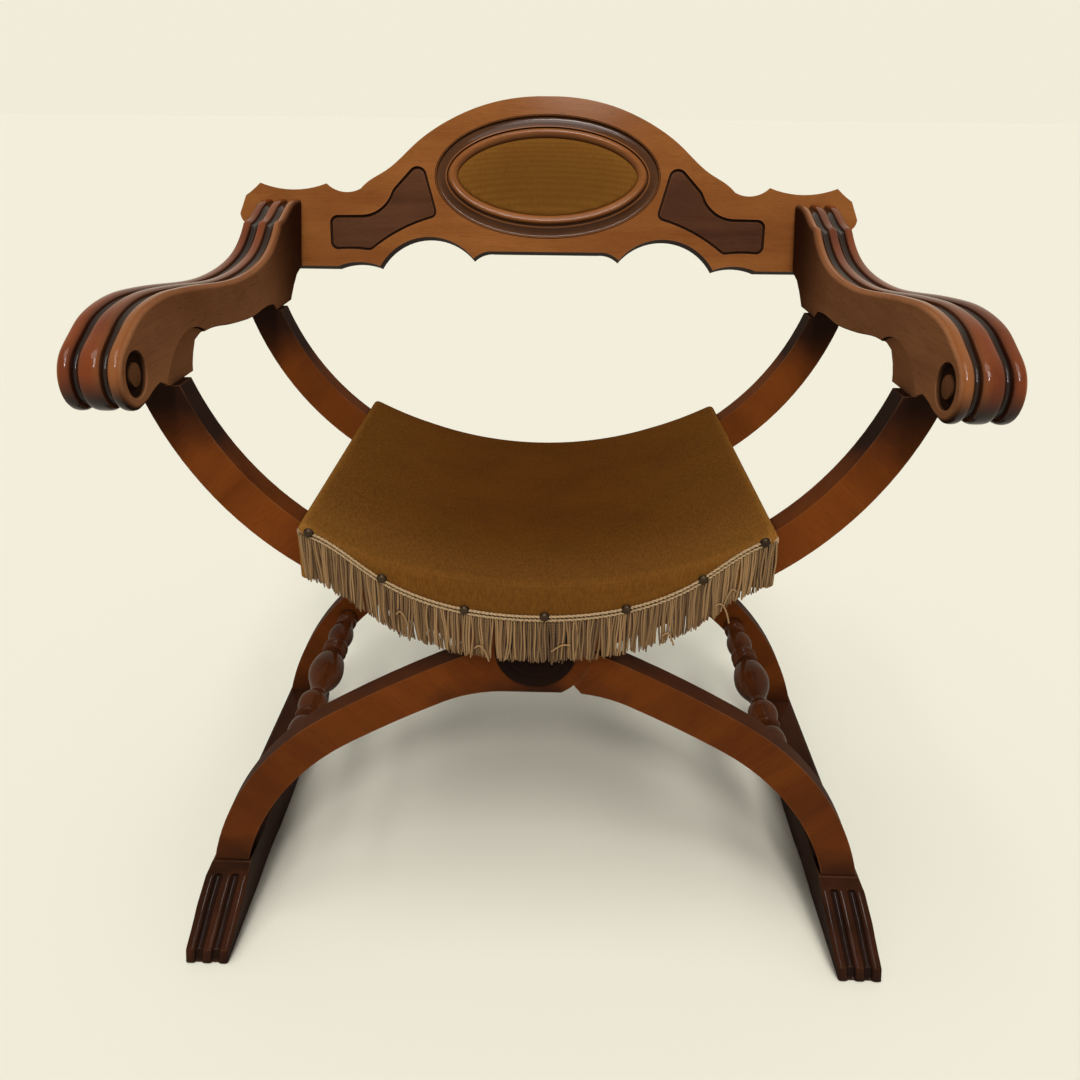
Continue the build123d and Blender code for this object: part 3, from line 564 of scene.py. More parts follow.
@shared("leg darkening and shade", {}, {"Mask": "Float"})
def leg_polish_and_shade(tree):
    """Mask of dark polish and painted shade on a leg: round the crossing, at both ends and on its narrow
    edges.
    """
    place = object_place(tree)
    clouds = noise(tree, place, 22.0, 4.0)
    from_crossing = add(tree, "Mapping", {"Vector": place, "Location": (0, 0, -PIVOT_Z * 0.001),
                                          "Scale": (1.0, 0.0, 1.4)})
    away = add(tree, "VectorMath", {0: from_crossing}, output="Value", operation="LENGTH") + clouds * 0.06
    height = place.part("Z") + clouds * 0.04
    # painted shade of the seat round the crossing, with dark polish
    near = 1.0 - away.ramp(0.08, 0.165)
    # painted shadow of the arm over the leg's top
    top = height.ramp(0.52, 0.585)
    foot = (1.0 - height.ramp(0.09, 0.17)) * 0.85
    # painted shade of the seat over the lower leg
    low = (1.0 - height.ramp(0.16, 0.46)) * 0.34
    narrow = 1.0 - normal(tree).part("Y").math("ABSOLUTE").ramp(0.1, 0.7)
    mask = near.math("MAXIMUM", top.math("MAXIMUM", foot)).math("MAXIMUM", low)
    return narrow.math("MULTIPLY_ADD", 0.5, mask, clamp=True)


@shared("painted_underside_shade", {}, {"Mask": "Float"})
def painted_underside_shade(tree):
    """Mask of the surfaces that face down, for painted shade."""
    return 1.0 - normal(tree).part("Z").ramp(-0.6, 0.3)


@shared("velvet pile", {"Vector": "Vector"}, {"Tone": "Float", "Brushed": "Float", "Height": "Float",
                                              "Ribs": "Float"})
def velvet_pile(tree, vector):
    """Pile of a ribbed velvet: ribs run along X, with the warp between them."""
    ribs = add(tree, "TexWave", {"Vector": vector, "Scale": 150.0, "Distortion": 0.9, "Detail": 2.0,
                                 "Detail Scale": 0.6}, output="Fac", bands_direction="Y")
    warp = noise(tree, vector, 1.0, stretch=(900.0, 190.0, 190.0))
    weft = noise(tree, vector, 1.0, stretch=(60.0, 520.0, 520.0))
    tufts = noise(tree, vector, 1500.0, 1.0)
    tone = warp * 0.75 + weft * 0.25
    height = tufts * 0.5 + (ribs * 0.5 + tone * 0.8)
    return tone, noise(tree, vector, 14.0, 5.0, Roughness=0.6), height, ribs


# ---- Materials ----------------------------------------------------------------------

GRAIN_UP = (0.0, math.radians(90.0), 0.0)
GRAIN_BACK = (0.0, 0.0, math.radians(90.0))
GRAIN_ACROSS = (0.0, 0.0, 0.0)
LEG_LEAN = math.radians(42.0)


def dress(material, values):
    """Sets or links sockets of a material's Principled shader."""
    tree = material.node_tree
    for label, value in values.items():
        connect(tree, value, tree.nodes["Principled BSDF"].inputs[label])
    return material


def new_material(name, values):
    """A material with these values on its shader, its tree and the places on its piece."""
    material = bpy.data.materials.new(name)
    material.use_nodes = True
    dress(material, values)
    return material, material.node_tree, object_place(material.node_tree)


def wood(name, light, dark, turn, rubbed=0.5, patina_and_shade=0.8, reach=0.008, coat=0.07, flutes=0.0, polish_and_shade=0.0,
         under=0.7, gloss=1.35, sides=None, grounds=None):
    """Stained and lacquered wood, whose grain is led by turn.

    flutes is the strength of the darkening in a carved piece's flutes and grooves, glaze with painted shade,
    polish_and_shade that of a leg's dark polish and painted shade, and under that of the painted shade
    below. gloss is the lacquer's index of refraction. sides gives the colours of a piece's flat sides, and
    grounds those of its stippled grounds.
    """
    settings = bpy.context.scene.armchair_wood
    material, tree, place = new_material(name, {
        "Coat Weight": coat, "Coat Roughness": 0.11, "Coat IOR": gloss, "Specular IOR Level": 0.0})
    along = add(tree, "Mapping", {"Vector": place, "Rotation": turn})
    base, height = wood_figure(tree, along, light, dark)
    if sides:
        reed, inner = attribute(tree, "reed"), attribute(tree, "inner")
        carved = reed.ramp(0.15, 0.75)
        base = carved.mix(wood_figure(tree, along, *sides)[0], base)
        base = (inner.ramp(0.5, 0.8) * carved * 0.6).mix(base, settings.reed_worn)
        shade = place.part("Y").ramp(0.02, 0.19) * (1.0 - reed)
        base = (shade * 0.96).mix(base, settings.foot_light)
        dress(material, {"Coat Weight": reed.ramp(0.3, 0.9) * coat})
    if grounds:
        ground = attribute(tree, "ground")
        base = ground.mix(base, wood_figure(tree, along, *grounds)[0])
        punch = add(tree, "TexVoronoi", {"Vector": place, "Scale": 520.0}, feature="F1")
        height = punch.ramp(0.1, 0.6) * ground * 2.6 + height
    black = settings.patina_and_shade
    # Hollows darkened towards the patina colour: patina with painted shade.
    base = (hollows(tree, reach) * patina_and_shade).mix(base, black)
    # Glaze with painted shade, marked by the attribute flute: in flutes, on reeds' flanks, in grooves and
    # sunk leaves.
    if flutes:
        glaze_and_shade = attribute(tree, "flute").ramp(-0.15, 0.85).math("POWER", 0.85)
        base = (glaze_and_shade * flutes).mix(base, black)
    # Dark polish with painted shade on the legs.
    if polish_and_shade:
        base = (leg_polish_and_shade(tree) * polish_and_shade).mix(base, black)
    # Painted shade on the surfaces that face down, as strong as under.
    base = (painted_underside_shade(tree) * under).mix(base, black)
    base = (rubbed_edges(tree, 0.0018) * rubbed).mix(base, settings.rubbed)
    smears = noise(tree, place, 16.0, 4.0)
    return dress(material, {"Base Color": base, "Roughness": smears * 0.22 + 0.30,
                            "Normal": height.bumps(0.25, 0.0004)})


def velvet(name, deep, light, rubbed):
    """Ribbed cotton velvet. The attribute wear_and_sheen says where its pile is worn and where sheen is
    painted.
    """
    material, tree, place = new_material(name, {
        "Roughness": 0.9, "Sheen Weight": 0.02, "Sheen Roughness": 0.4, "Sheen Tint": rubbed,
        "Specular IOR Level": 0.0})
    tone, brushed, height, ribs = velvet_pile(tree, place)
    base = (brushed.ramp(0.25, 0.75) * 0.3 + 0.25).mix(deep, light)
    base = (tone.ramp(0.38, 0.66) * 0.42).mix(base, light)
    wear_and_sheen = attribute(tree, "wear_and_sheen")
    valley = (1.0 - ribs) * wear_and_sheen.math("MULTIPLY_ADD", 0.9, 0.06, clamp=True)
    base = valley.mix(base, [part * 0.5 for part in deep])
    # Lighter where the pile is worn and where sheen is painted.
    worn = wear_and_sheen * (tone.ramp(0.3, 0.7) * 0.4 + 0.6)
    return dress(material, {"Base Color": worn.mix(base, rubbed), "Normal": height.bumps(0.55, 0.0007)})


def cotton(name, deep, light):
    """Cotton yarn, with painted shade where strands crowd. The attribute tone gives each strand its own tone,
    and ply the twist's phase.
    """
    material, tree, place = new_material(name, {
        "Roughness": 0.8, "Sheen Weight": 0.06, "Sheen Roughness": 0.5, "Specular IOR Level": 0.05})
    twist = attribute(tree, "ply").math("SINE")
    lint = noise(tree, place, 900.0)
    share = lint.math("MULTIPLY_ADD", 0.5, twist * 0.14 + attribute(tree, "tone") + -0.25, clamp=True)
    # Painted shade where strands crowd together.
    base = (hollows(tree, 0.004) * 0.55).mix(share.mix(deep, light), [part * 0.3 for part in deep])
    return dress(material, {"Base Color": base, "Normal": (twist * 0.5 + lint).bumps(0.6, 0.0002)})


def metal(name, shine, roughness, tarnish):
    """Old metal with hollows darkened by dirt and painted shade, and specks of tarnish."""
    material, tree, place = new_material(name, {"Metallic": 1.0})
    specks = noise(tree, place, 420.0, 4.0)
    clouds = noise(tree, place, 60.0, 3.0)
    # Hollows darkened, as dirt with painted shade, and clouds of tarnish.
    dirt_and_shade = hollows(tree, 0.003).math("MULTIPLY_ADD", 0.8, clouds.ramp(0.4, 0.7) * 0.6, clamp=True)
    return dress(material, {"Base Color": dirt_and_shade.mix(shine, tarnish), "Roughness": specks * 0.3 + roughness,
                            "Normal": specks.bumps(0.35, 0.0003)})


def raw_wood(name):
    """Planed softwood that nobody sees."""
    material, tree, place = new_material(name, {"Roughness": 0.75})
    base, height = wood_figure(tree, place, (0.46, 0.29, 0.15), (0.27, 0.15, 0.07))
    # Painted shade in the boards' hollows.
    base = (hollows(tree, 0.03) * 0.5).mix(base, (0.05, 0.03, 0.02))
    return dress(material, {"Base Color": base, "Normal": height.bumps(0.5, 0.0006)})


# ---- Frame: legs, turnings, runners and arms ----------------------------------------

def reed_lines(width, flute, deep, edge, middle=1 / 3, steps=9):
    """Across three reeds and two flutes: place from one side, depth and darkness (glaze with painted shade)
    for each line.

    middle is the middle reed's share of the three.
    """
    reeds = width - 2 * flute
    rim = deep * REED_RIM
    lines, start = [], 0.0
    for index in range(5):
        hollow = index % 2
        size = flute if hollow else reeds * (middle if index == 2 else (1 - middle) / 2)
        for k in range(steps + (1 if index == 4 else 0)):
            u = -math.cos(math.pi * k / steps)
            outer = (index == 0 and u < 0) or (index == 4 and u > 0)
            if hollow:
                # Flutes darken towards their middle and reeds towards their flanks: glaze with painted shade.
                bow = math.sqrt(max(0.0, 1 - u * u))
                depth, dark = rim + (deep - rim) * bow, 0.5 + bow / 2
            else:
                bow = math.sqrt(max(0.0, 1 - abs(u) ** REED_FULL[index == 2]))
                depth, dark = (edge if outer else rim) * (1 - bow), 0.0 if outer else 0.5 * (1 - bow)
            lines.append((start + size * (1 + u) / 2, depth, dark))
        start += size
    return lines


def reeded_bar(outline, sides, reeds, ease=1.3, first_moves=None, round_scroll=lambda y: 0.0):
    """A bar with a side outline of (y, z, share of carving), with reeds where the share is 1.

    sides gives the inner and the outer x at a point of the outline. first_moves is the way in which the
    outline's first point moves inwards. round_scroll tells how far a place lies round the volute, from 0
    to 1, where the flutes grow narrow and the middle reed broad.
    """
    flute, deep, edge = reeds
    bm = bmesh.new()
    normals = inward([(y, z) for y, z, _ in outline])
    if first_moves:
        normals[0] = first_moves
    columns = []
    for (y, z, cut), (ny, nz) in zip(outline, normals):
        inner, outer = sides(y, z)
        wide = outer - inner
        scroll = round_scroll(y)
        narrow, middle = flute * (1 - FLUTE_NARROWS * scroll), 1 / 3 + MIDDLE_GROWS * scroll
        column = []
        for place, depth, hollow in reed_lines(wide, narrow, deep, edge, middle):
            side = min(place, wide - place)
            eased = ease - math.sqrt(max(0.0, ease ** 2 - (ease - side) ** 2)) if side < ease else 0.0
            move = depth * cut + eased * (1 - cut)
            point = (inner + place, y + ny * move, z + nz * move)
            column.append((point, hollow * cut, cut * min(1.0, side / edge), 1 - place / wide))
        columns.append(column)
    rows, *layers = ([[line[k] for line in row] for row in zip(*columns)] for k in range(4))
    loft(bm, rows, layers=dict(zip(("flute", "reed", "inner"), layers)))
    return bm


def arm_outer_x(y):
    share = (y - ARM_FRONT_Y) / (CREST_Y - ARM_FRONT_Y)
    return ARM_OUTER_FRONT + (ARM_OUTER_REAR - ARM_OUTER_FRONT) * share


def arm_outline():
    """Side outline of an arm, with the share of carving at each point."""
    rear, low = (crest_point(0, v, CREST_GAP)[1:] for v in (ARM_REAR_HIGH, 0))
    volute = arc(SCROLL, SCROLL_RADIUS, SCROLL_TURN, 270, 34)
    turn = math.radians(SCROLL_TURN)
    start = volute[0]
    before = (start[0] + 0.6 * math.sin(turn), start[1] - 0.6 * math.cos(turn))
    rise = smooth_line([rear, *ARM_RISE, ARM_TOP[0]], 20)[:-1]
    top = rise + smooth_line([*ARM_TOP, before, start], 110)[:-1]
    throat = smooth_line([volute[-1], *ARM_THROAT], 9)[1:]
    corbel = straight(ARM_THROAT[-1], ARM_CORBEL[0], 3)[1:] + corners(ARM_CORBEL)
    heel = corners(ARM_HEEL) + [ARM_HEEL[-1], low]
    carved = [(*p, 1.0) for p in top + volute]
    fading = [(*p, 1.0 - (k + 1) / len(throat)) for k, p in enumerate(throat)]
    return carved + fading + [(*p, 0.0) for p in corbel + smooth_line(ARM_UNDER, 26) + heel]


def round_scroll(y):
    """How far a place on the arm's top lies round the volute, from 0 on top to 1 in front."""
    share = share_of(y, *SCROLL_FORMS_Y)
    return share * share * (3 - 2 * share)


def glaze_and_shade_carving(piece):
    """Marks the eyes and leaves on an arm's sides: a dark ring in each eye, painted shade in each leaf, and
    no reeds' colour.
    """
    mesh = piece.data
    (rear, _), (_, top), (front, _) = ARM_LEAF
    values = {name: [item.value for item in mesh.attributes[name].data] for name in ("flute", "reed")}
    for index, vert in enumerate(mesh.vertices):
        x, y, z = drawn_place(vert)
        deep = min(abs(x) - ARM_INNER_X, arm_outer_x(y) - abs(x))
        radius = math.hypot(y - SCROLL[0], z - SCROLL[1])
        if radius < EYE_RADIUS + 1.0 and deep < EYE_DEEP + 1.0:
            values["reed"][index] = 0.0
            ring = 0.9 if EYE_BUTTON + 0.3 < radius < EYE_RADIUS - 0.8 else 0.35
            values["flute"][index] = ring if radius < EYE_RADIUS + 0.3 else 0.0
        elif 0.3 < deep < LEAF_DEEP + 0.5 and front - 1 < y < rear + 1 and z < top + 2:
            values["reed"][index] = 0.0
            values["flute"][index] = 0.2
    for name, marks in values.items():
        mesh.attributes[name].data.foreach_set("value", marks)


def eye_cutter(x, outward):
    """A round hollow with a raised button, cut into the side of a volute at x."""
    rim = [(4.0, 0.0), (4.0, EYE_RADIUS + 1), (0.0, EYE_RADIUS + 0.6), (-EYE_LIP, EYE_RADIUS - 0.4)]
    middle = (EYE_RADIUS + EYE_BUTTON) / 2
    half = (EYE_RADIUS - EYE_BUTTON) / 2
    for k in range(1, 9):
        u = math.cos(math.pi * k / 9)
        rim.append((-EYE_LIP - (EYE_DEEP - EYE_LIP) * math.sqrt(1 - u * u), middle + half * u))
    button = [(-0.9 + 0.7 * math.cos(math.pi / 2 * k / 5), EYE_BUTTON * (k / 5)) for k in range(5, -1, -1)]
    bm = bmesh.new()
    turned(bm, [(outward * out, radius) for out, radius in rim + button], (x, *SCROLL), 48, (1, 0, 0))
    return shown(bm, "eye")


def leaf_cutter(x, outward):
    """The sunk leaf over the front leg: deep below its upper edge, and shallow at the corbel."""
    low = ARM_LEAF[0][1] - 2 * SCROLL_RADIUS
    edge = through(*ARM_LEAF, 24)
    around = [(ARM_LEAF[2][0], low), (ARM_LEAF[0][0], low)]
    rows = []
    for out, grow in ((6.0, 0.8), (0.0, 0.8), (-LEAF_DEEP, 0.0)):
        pushed = [(x + outward * out, y, z + grow) for y, z in edge]
        rows.append(pushed + [(x + outward * max(out, 0.3), y, z) for y, z in around])
    bm = bmesh.new()
    loft(bm, rows)
    return shown(bm, "leaf")


def make_arms(material):
    down_the_board = (-math.sin(RAKE) * 1.15, -math.cos(RAKE) * 1.15)
    for side, body, sign in (("right", "side_a", 1), ("left", "side_b", -1)):
        bm = reeded_bar(arm_outline(), lambda y, z: (ARM_INNER_X, arm_outer_x(y)), ARM_REEDS,
                        first_moves=down_the_board, round_scroll=round_scroll)
        piece = placed(bm, f"arm_{side}_carved", body, material, [f"arm_{side}"], flip=sign < 0)
        inner = ARM_INNER_X * sign
        carve(piece, [eye_cutter(inner, -sign), eye_cutter(arm_outer_x(SCROLL[0]) * sign, sign),
                      leaf_cutter(inner, -sign), leaf_cutter(arm_outer_x(ARM_LEAF[1][0]) * sign, sign)])
        glaze_and_shade_carving(piece)
        weighted(piece)


def runner_outline():
    """Side outline of a runner, with a paw at each end and two hollows below."""
    collar = [(0, RUNNER_TOP_Z), (-2.6, 78.2), (COLLAR_Y, COLLAR_Z), (-5.5, 68.5), (-6.6, 66.6)]
    slope = smooth_line([(-9, 64.5), (-28, 45.5), (-48, 28.5), (-57, 22.5)], 14)
    toe = [(TOE_Y + 0.6, 19.5), (TOE_Y, 17), (TOE_Y - 0.2, 10), (TOE_Y, 3.0)]
    under = [(TOE_Y + 3.0, 0.0), (RELIEF_FROM - 20, 0.0)]
    dip = through((RELIEF_FROM, 0), ((RELIEF_FROM + RELIEF_TO) / 2, RELIEF), (RELIEF_TO, 0), 14)
    front = [(*p, 0.0) for p in collar] + [(*p, 1.0) for p in slope + toe] + [(TOE_Y + 1.0, 0.6, 0.4)]
    front += [(*p, 0.0) for p in under + dip]
    return front + [(REAR_FACE_Y - y, z, cut) for y, z, cut in reversed(front)]


def runner_sides(y, z):
    """Inner and outer side of a runner, whose paws flare below their collars."""
    (inner_low, inner_high), (outer_low, outer_high) = RUNNER_X
    up = z / RUNNER_TOP_Z
    flare = PAW_FLARE * share_of(max(-y, y - REAR_FACE_Y), 0, 8) * share_of(z, 0, 45)
    return inner_low + (inner_high - inner_low) * up, outer_low + (outer_high - outer_low) * up + flare


def make_runners(material):
    for side, body in (("right", "side_b"), ("left", "side_a")):
        bm = reeded_bar(runner_outline(), runner_sides, PAW_REEDS, ease=1.0)
        name = f"runner_{side}"
        weighted(placed(bm, f"{name}_carved", body, material, [name], flip=side == "left"))


def stretcher_profile():
    """(distance along Y, radius) of a turned stretcher between the legs."""
    y0, y1 = LEG_THICK, REAR_LEG_Y

    def long_bead(start, radius, swell, long):
        """A slim bead that swells between two narrow ends."""
        bows = (math.sin(math.pi * k / 14) ** 0.8 for k in range(15))
        return [(start + long * k / 14, radius + swell * bow) for k, bow in enumerate(bows)]

    tenon = [(y0 - TENON, 0), (y0 - TENON, 7), (y0, 7), (y0, 10.6), (y0 + 0.6, 11)]
    shoulder = [(34.5, 11.8), (36, 11.4), (36.6, 10), (40, 9.3), (46, 9.4)]
    rings = [(83, 9.2), (86, 9.4), (86.6, 12.2), (87.6, 13.2), (89.4, 13.5), (91, 13), (91.8, 11.4),
             (92.4, 10.8), (94, 10.9)]
    pear = smooth_line([(95, 11), (103, 14.4), (111, 15.5), (120, 13.2), (128, 9.2), (134, 8.6)], 26)
    vase = smooth_line([(134, 8.6), (141, 10.2), (150, 13.5), (161, 17.4), (172, 19), (183, 18), (192, 16),
                        (201, 12), (206, 10)], 40)
    beads = [(208.6, 9.6), (209.4, 12.4), (210.6, 13.6), (212.6, 14.1), (214.6, 13.7), (215.6, 12.2),
             (216.8, 11.6), (218, 12.2), (219, 13.7), (221.5, 14.3), (224.4, 13.9), (226.2, 13), (227, 11),
             (228, 10), (230, 9.8)]
    end = [(269, 9.8), (277, 9.4), (278, 10), (279.4, 11.6), (282, 12.1), (y1 - 0.8, 11.5), (y1, 11),
           (y1, 7), (y1 + TENON, 7), (y1 + TENON, 0)]
    return (tenon + shoulder + long_bead(47, 9.5, 5.0, 35) + rings + pear + vase[1:] + beads
            + long_bead(231, 10, 4.6, 37) + end)


def make_turnings(material, dark_material):
    for side, body in (("right", "side_b"), ("left", "side_a")):
        bm = bmesh.new()
        turned(bm, stretcher_profile(), (STRETCHER_X, 0, STRETCHER_Z))
        name = f"stretcher_{side}"
        placed(bm, f"{name}_turned", body, material, [name], flip=side == "left", sharp=48)
    for place, face, outward in (("front", 0.0, -1), ("rear", REAR_FACE_Y, 1)):
        bm = bmesh.new()
        rings = [(0, 0)] + [(outward * high, radius) for high, radius in ROSETTE_RINGS]
        turned(bm, rings, (0, face + outward * 0.3, PIVOT_Z), 72)
        name = f"rosette_{place}"
        placed(bm, f"{name}_turned", "pivot", dark_material, [name, f"pivot_pin_{place}"],
               sharp=60)


# ---- Crest board --------------------------------------------------------------------

def on_crest(points, front):
    return [crest_point(u, v, front) for u, v in points]


def oval_line(inset, count=160):
    """The cove's oval, drawn in by this much all round."""
    a, b = OVAL_COVE
    angles = [math.tau * k / count for k in range(count)]
    points = [(a * math.cos(t), OVAL_V + b * math.sin(t)) for t in angles]
    return [(p[0] + n[0] * inset, p[1] + n[1] * inset) for p, n in zip(points, inward(points))]


def make_oval(material):
    """Cove and raised moulding round the oval pad, as one carved ring, and its line of beads."""
    bm = bmesh.new()
    rows = [on_crest(oval_line(inset), front) for inset, front in MOULDING]
    around = len(rows[0])
    # The cove's deep part is marked dark: painted shade in the cove, with glaze.
    hollow = [[float(front < -1.3 and inset < COVE_IN)] * around for inset, front in MOULDING]
    rows.append(rows[0])
    hollow.append(hollow[0])
    loft(bm, rows, caps=False, layers={"flute": hollow, "reed": [[1.0] * around] * len(rows)})
    bmesh.ops.remove_doubles(bm, verts=bm.verts, dist=1e-4)
    placed(bm, "crest_oval_moulding", "crest", material, ["crest_oval_ring"], sharp=50)
    bm = bmesh.new()
    for centre in on_crest(oval_line(BEAD_IN, 300), 0.0):
        at = Matrix.Translation(centre)
        bmesh.ops.create_icosphere(bm, subdivisions=1, radius=BEAD_RADIUS, matrix=at)
    placed(bm, "crest_oval_beading", "crest", material, sharp=80)


def raise_panels(bm):
    """Leaves a groove round the ground of each sunk panel, painted dark as shade, and a soft shoulder inside
    it.
    """
    ground = bm.verts.layers.float.new("ground")
    facing = Vector((0, -math.cos(RAKE), math.sin(RAKE)))
    origin = TO_FRAME @ Vector(crest_point(0, 0))
    grounds = []
    for face in bm.faces:
        deep = (origin - face.calc_center_median()).dot(facing) * 1000
        if face.normal.dot(facing) > 0.99 and abs(deep - PANEL_DEEP) < 0.2 and face.calc_area() > 1e-3:
            grounds.append(face)
    if len(grounds) != 2:
        raise RuntimeError("the crest board's two panels were not found")
    # The groove is painted dark, as shade, through the attribute flute.
    groove = bm.verts.layers.float.new("flute")
    for wide, high, dark, stained in PANEL_STEPS:
        if wide:
            bmesh.ops.inset_region(bm, faces=grounds, thickness=wide * 0.001, depth=high * 0.001,
                                   use_even_offset=True)
        for vert in {vert for face in grounds for vert in face.verts}:
            vert[groove] = dark
            vert[ground] = stained


def make_crest(material):
    """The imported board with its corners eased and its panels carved."""
    def keep(middle):
        """Leaves out the small edges of the fittings' recesses."""
        low, high = FITTING_X
        return not (low < abs(middle.x) * 1000 < high and middle.z * 1000 < CREST_Z + FITTING_HIGH)
    eased_copy("crest_board", "crest_board_carved", material, CREST_EASE, keep, raise_panels)


def oval_pad(material):
    """The crowned velvet pad of the oval."""
    bm = bmesh.new()
    count = 120
    rows = [on_crest(oval_line(inset, count), front) for inset, front in PAD_RIM]
    # Worn pile and painted sheen, lighter towards the pad's rim.
    wear_and_sheen = [[0.35] * count for _ in PAD_RIM]
    last_inset, last_front = PAD_RIM[-1]
    inner = oval_line(last_inset, count)
    for k in range(1, 15):
        share = 1 - k / 15
        ring = [(u * share, OVAL_V + (v - OVAL_V) * share) for u, v in inner]
        rows.append(on_crest(ring, last_front + PAD_CROWN * (1 - share ** 2)))
        wear_and_sheen.append([0.35 * share ** 4] * count)
    loft(bm, rows, layers={"wear_and_sheen": wear_and_sheen})
    piece = placed(bm, "crest_oval_velvet", "crest", material, ["crest_oval_pad"], sharp=70)


# ---- Seat ---------------------------------------------------------------------------

def dish(x, middle, edge):
    """Height of an arc that sags from edge at the seat's sides to middle."""
    sag = edge - middle
    radius = (SEAT_HALF ** 2 + sag ** 2) / (2 * sag)
    return middle + radius - math.sqrt(radius ** 2 - x * x)


def trim_line(drop, count):
    """Evenly spaced points of the trim's line across the seat's front, lowered by drop."""
    points = [(-x, z) for x, z in reversed(TRIM_LINE[1:])] + TRIM_LINE
    return [(x, z - drop) for x, z in smooth_line(points, count)]


def trim_y(x, proud):
    """Depth of the trim this far in front of the velvet, which is rounded at its corners."""
    past = min(CORNER_ROUND - 0.5, max(0.0, abs(x) - (SEAT_HALF - CORNER_ROUND)))
    return SEAT_FRONT - proud + CORNER_ROUND - math.sqrt(CORNER_ROUND ** 2 - past ** 2)


def read_underside():
    """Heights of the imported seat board's underside, by the distance from its middle."""
    lowest = {}
    for vert in frame["nodes"]["seat_board"].data.vertices:
        x, z = abs(vert.co.x) * 1000, vert.co.z * 1000
        if z < dish(min(x, SEAT_HALF), SEAT_MID_Z, SEAT_EDGE_Z) - 20:
            key = round(x, 1)
            lowest[key] = min(lowest.get(key, z), z)
    return sorted(lowest), [lowest[x] for x in sorted(lowest)]


def divisions(size, rounding, count):
    """Places of cuts across a side from 0 to size: close together at its rounded ends."""
    ends = [rounding * share for share in (0.06, 0.16, 0.3, 0.5, 0.72, 1.0)]
    middle = [rounding + (size - 2 * rounding) * k / count for k in range(1, count)]
    return ends + middle + [size - end for end in ends]


def padding(material):
    """The upholstered seat: a rounded velvet block over the board, puffed by a short cloth simulation."""
    half, front, back, rounding = SEAT_HALF - 0.2, SEAT_FRONT - 0.5, SEAT_BACK + 0.3, CORNER_ROUND
    sizes = (2 * half, back - front, SEAT_BLOCK)
    under_x, under_z = read_underside()
    bm = bmesh.new()
    block = Matrix.Diagonal((*sizes, 1)) @ Matrix.Translation((0.5, 0.5, 0.5))
    bmesh.ops.create_cube(bm, size=1, matrix=block)
    for axis, count in ((0, 46), (1, 42), (2, 5)):
        for place in divisions(sizes[axis], rounding if axis < 2 else 7.0, count):
            at, way = Vector(), Vector()
            at[axis], way[axis] = place, 1
            whole = bm.verts[:] + bm.edges[:] + bm.faces[:]
            bmesh.ops.bisect_plane(bm, geom=whole, plane_co=at, plane_no=way)
    for vert in bm.verts:
        inside = Vector(min(max(value, rounding), size - rounding) for value, size in zip(vert.co, sizes))
        inside.z = min(vert.co.z, SEAT_BLOCK - rounding)
        out = vert.co - inside
        if out.length > 0:
            vert.co = inside + out * (rounding / out.length)
        x = vert.co.x - half
        top = dish(min(abs(x), SEAT_HALF), SEAT_MID_Z, SEAT_EDGE_Z)
        low = float(np.interp(abs(x), under_x, under_z)) + 0.5
        vert.co = (x, vert.co.y + front, low + (top - low) * vert.co.z / SEAT_BLOCK)
    piece = placed(bm, "seat_velvet", "seat", material, ["seat_cover", "seat_pad"], sharp=80)
    puff(piece, under_x, under_z)
    mark_wear_and_sheen(piece)


def puff(piece, under_x, under_z, pressure=4.0, most=3.0):
    """Blows the padding up as cloth over twenty frames, evens the travel out and caps it."""
    rest = np.array([vert.co for vert in piece.data.vertices])
    trim_x, trim_z = zip(*TRIM_LINE)
    held = []
    for index, (x, y, z) in enumerate(rest * 1000):
        low = np.interp(abs(x), under_x, under_z)
        on_front = y + MID_DEPTH < SEAT_FRONT + 3 and z < np.interp(abs(x), trim_x, trim_z) + 5
        if z < low + 12 or on_front:
            held.append(index)
    piece.vertex_groups.new(name="held").add(held, 1.0, "REPLACE")
    cloth = piece.modifiers.new("cloth", "CLOTH")
    settings = {"quality": 5, "mass": 0.3, "tension_stiffness": 25, "compression_stiffness": 25,
                "bending_stiffness": 4, "use_pressure": True, "uniform_pressure_force": pressure,
                "vertex_group_mass": "held"}
    for name, value in settings.items():
        setattr(cloth.settings, name, value)
    cloth.settings.effector_weights.gravity = 0
    cloth.point_cache.frame_start = 1
    cloth.point_cache.frame_end = 20
    for step in range(1, 21):
        bpy.context.scene.frame_set(step)
    apply_modifiers(piece)
    bpy.context.scene.frame_set(1)
    piece.vertex_groups.clear()
    travel = np.array([vert.co for vert in piece.data.vertices]) - rest
    ends = np.array([edge.vertices[:] for edge in piece.data.edges])
    for _ in range(8):
        total = np.zeros_like(travel)
        count = np.zeros(len(travel))
        for a, b in ((0, 1), (1, 0)):
            np.add.at(total, ends[:, a], travel[ends[:, b]])
            np.add.at(count, ends[:, a], 1)
        travel = (travel + total / count[:, None]) / 2
    far = np.linalg.norm(travel, axis=1)
    cap = most * 0.001
    share = np.where(far > 1e-9, cap * np.tanh(far / cap) / np.maximum(far, 1e-9), 0.0)
    piece.data.vertices.foreach_set("co", (rest + travel * share[:, None]).astype(np.float32).ravel())
    finer = piece.modifiers.new("finer", "SUBSURF")
    finer.levels = finer.render_levels = 1
    apply_modifiers(piece)
    piece.data.shade_smooth()


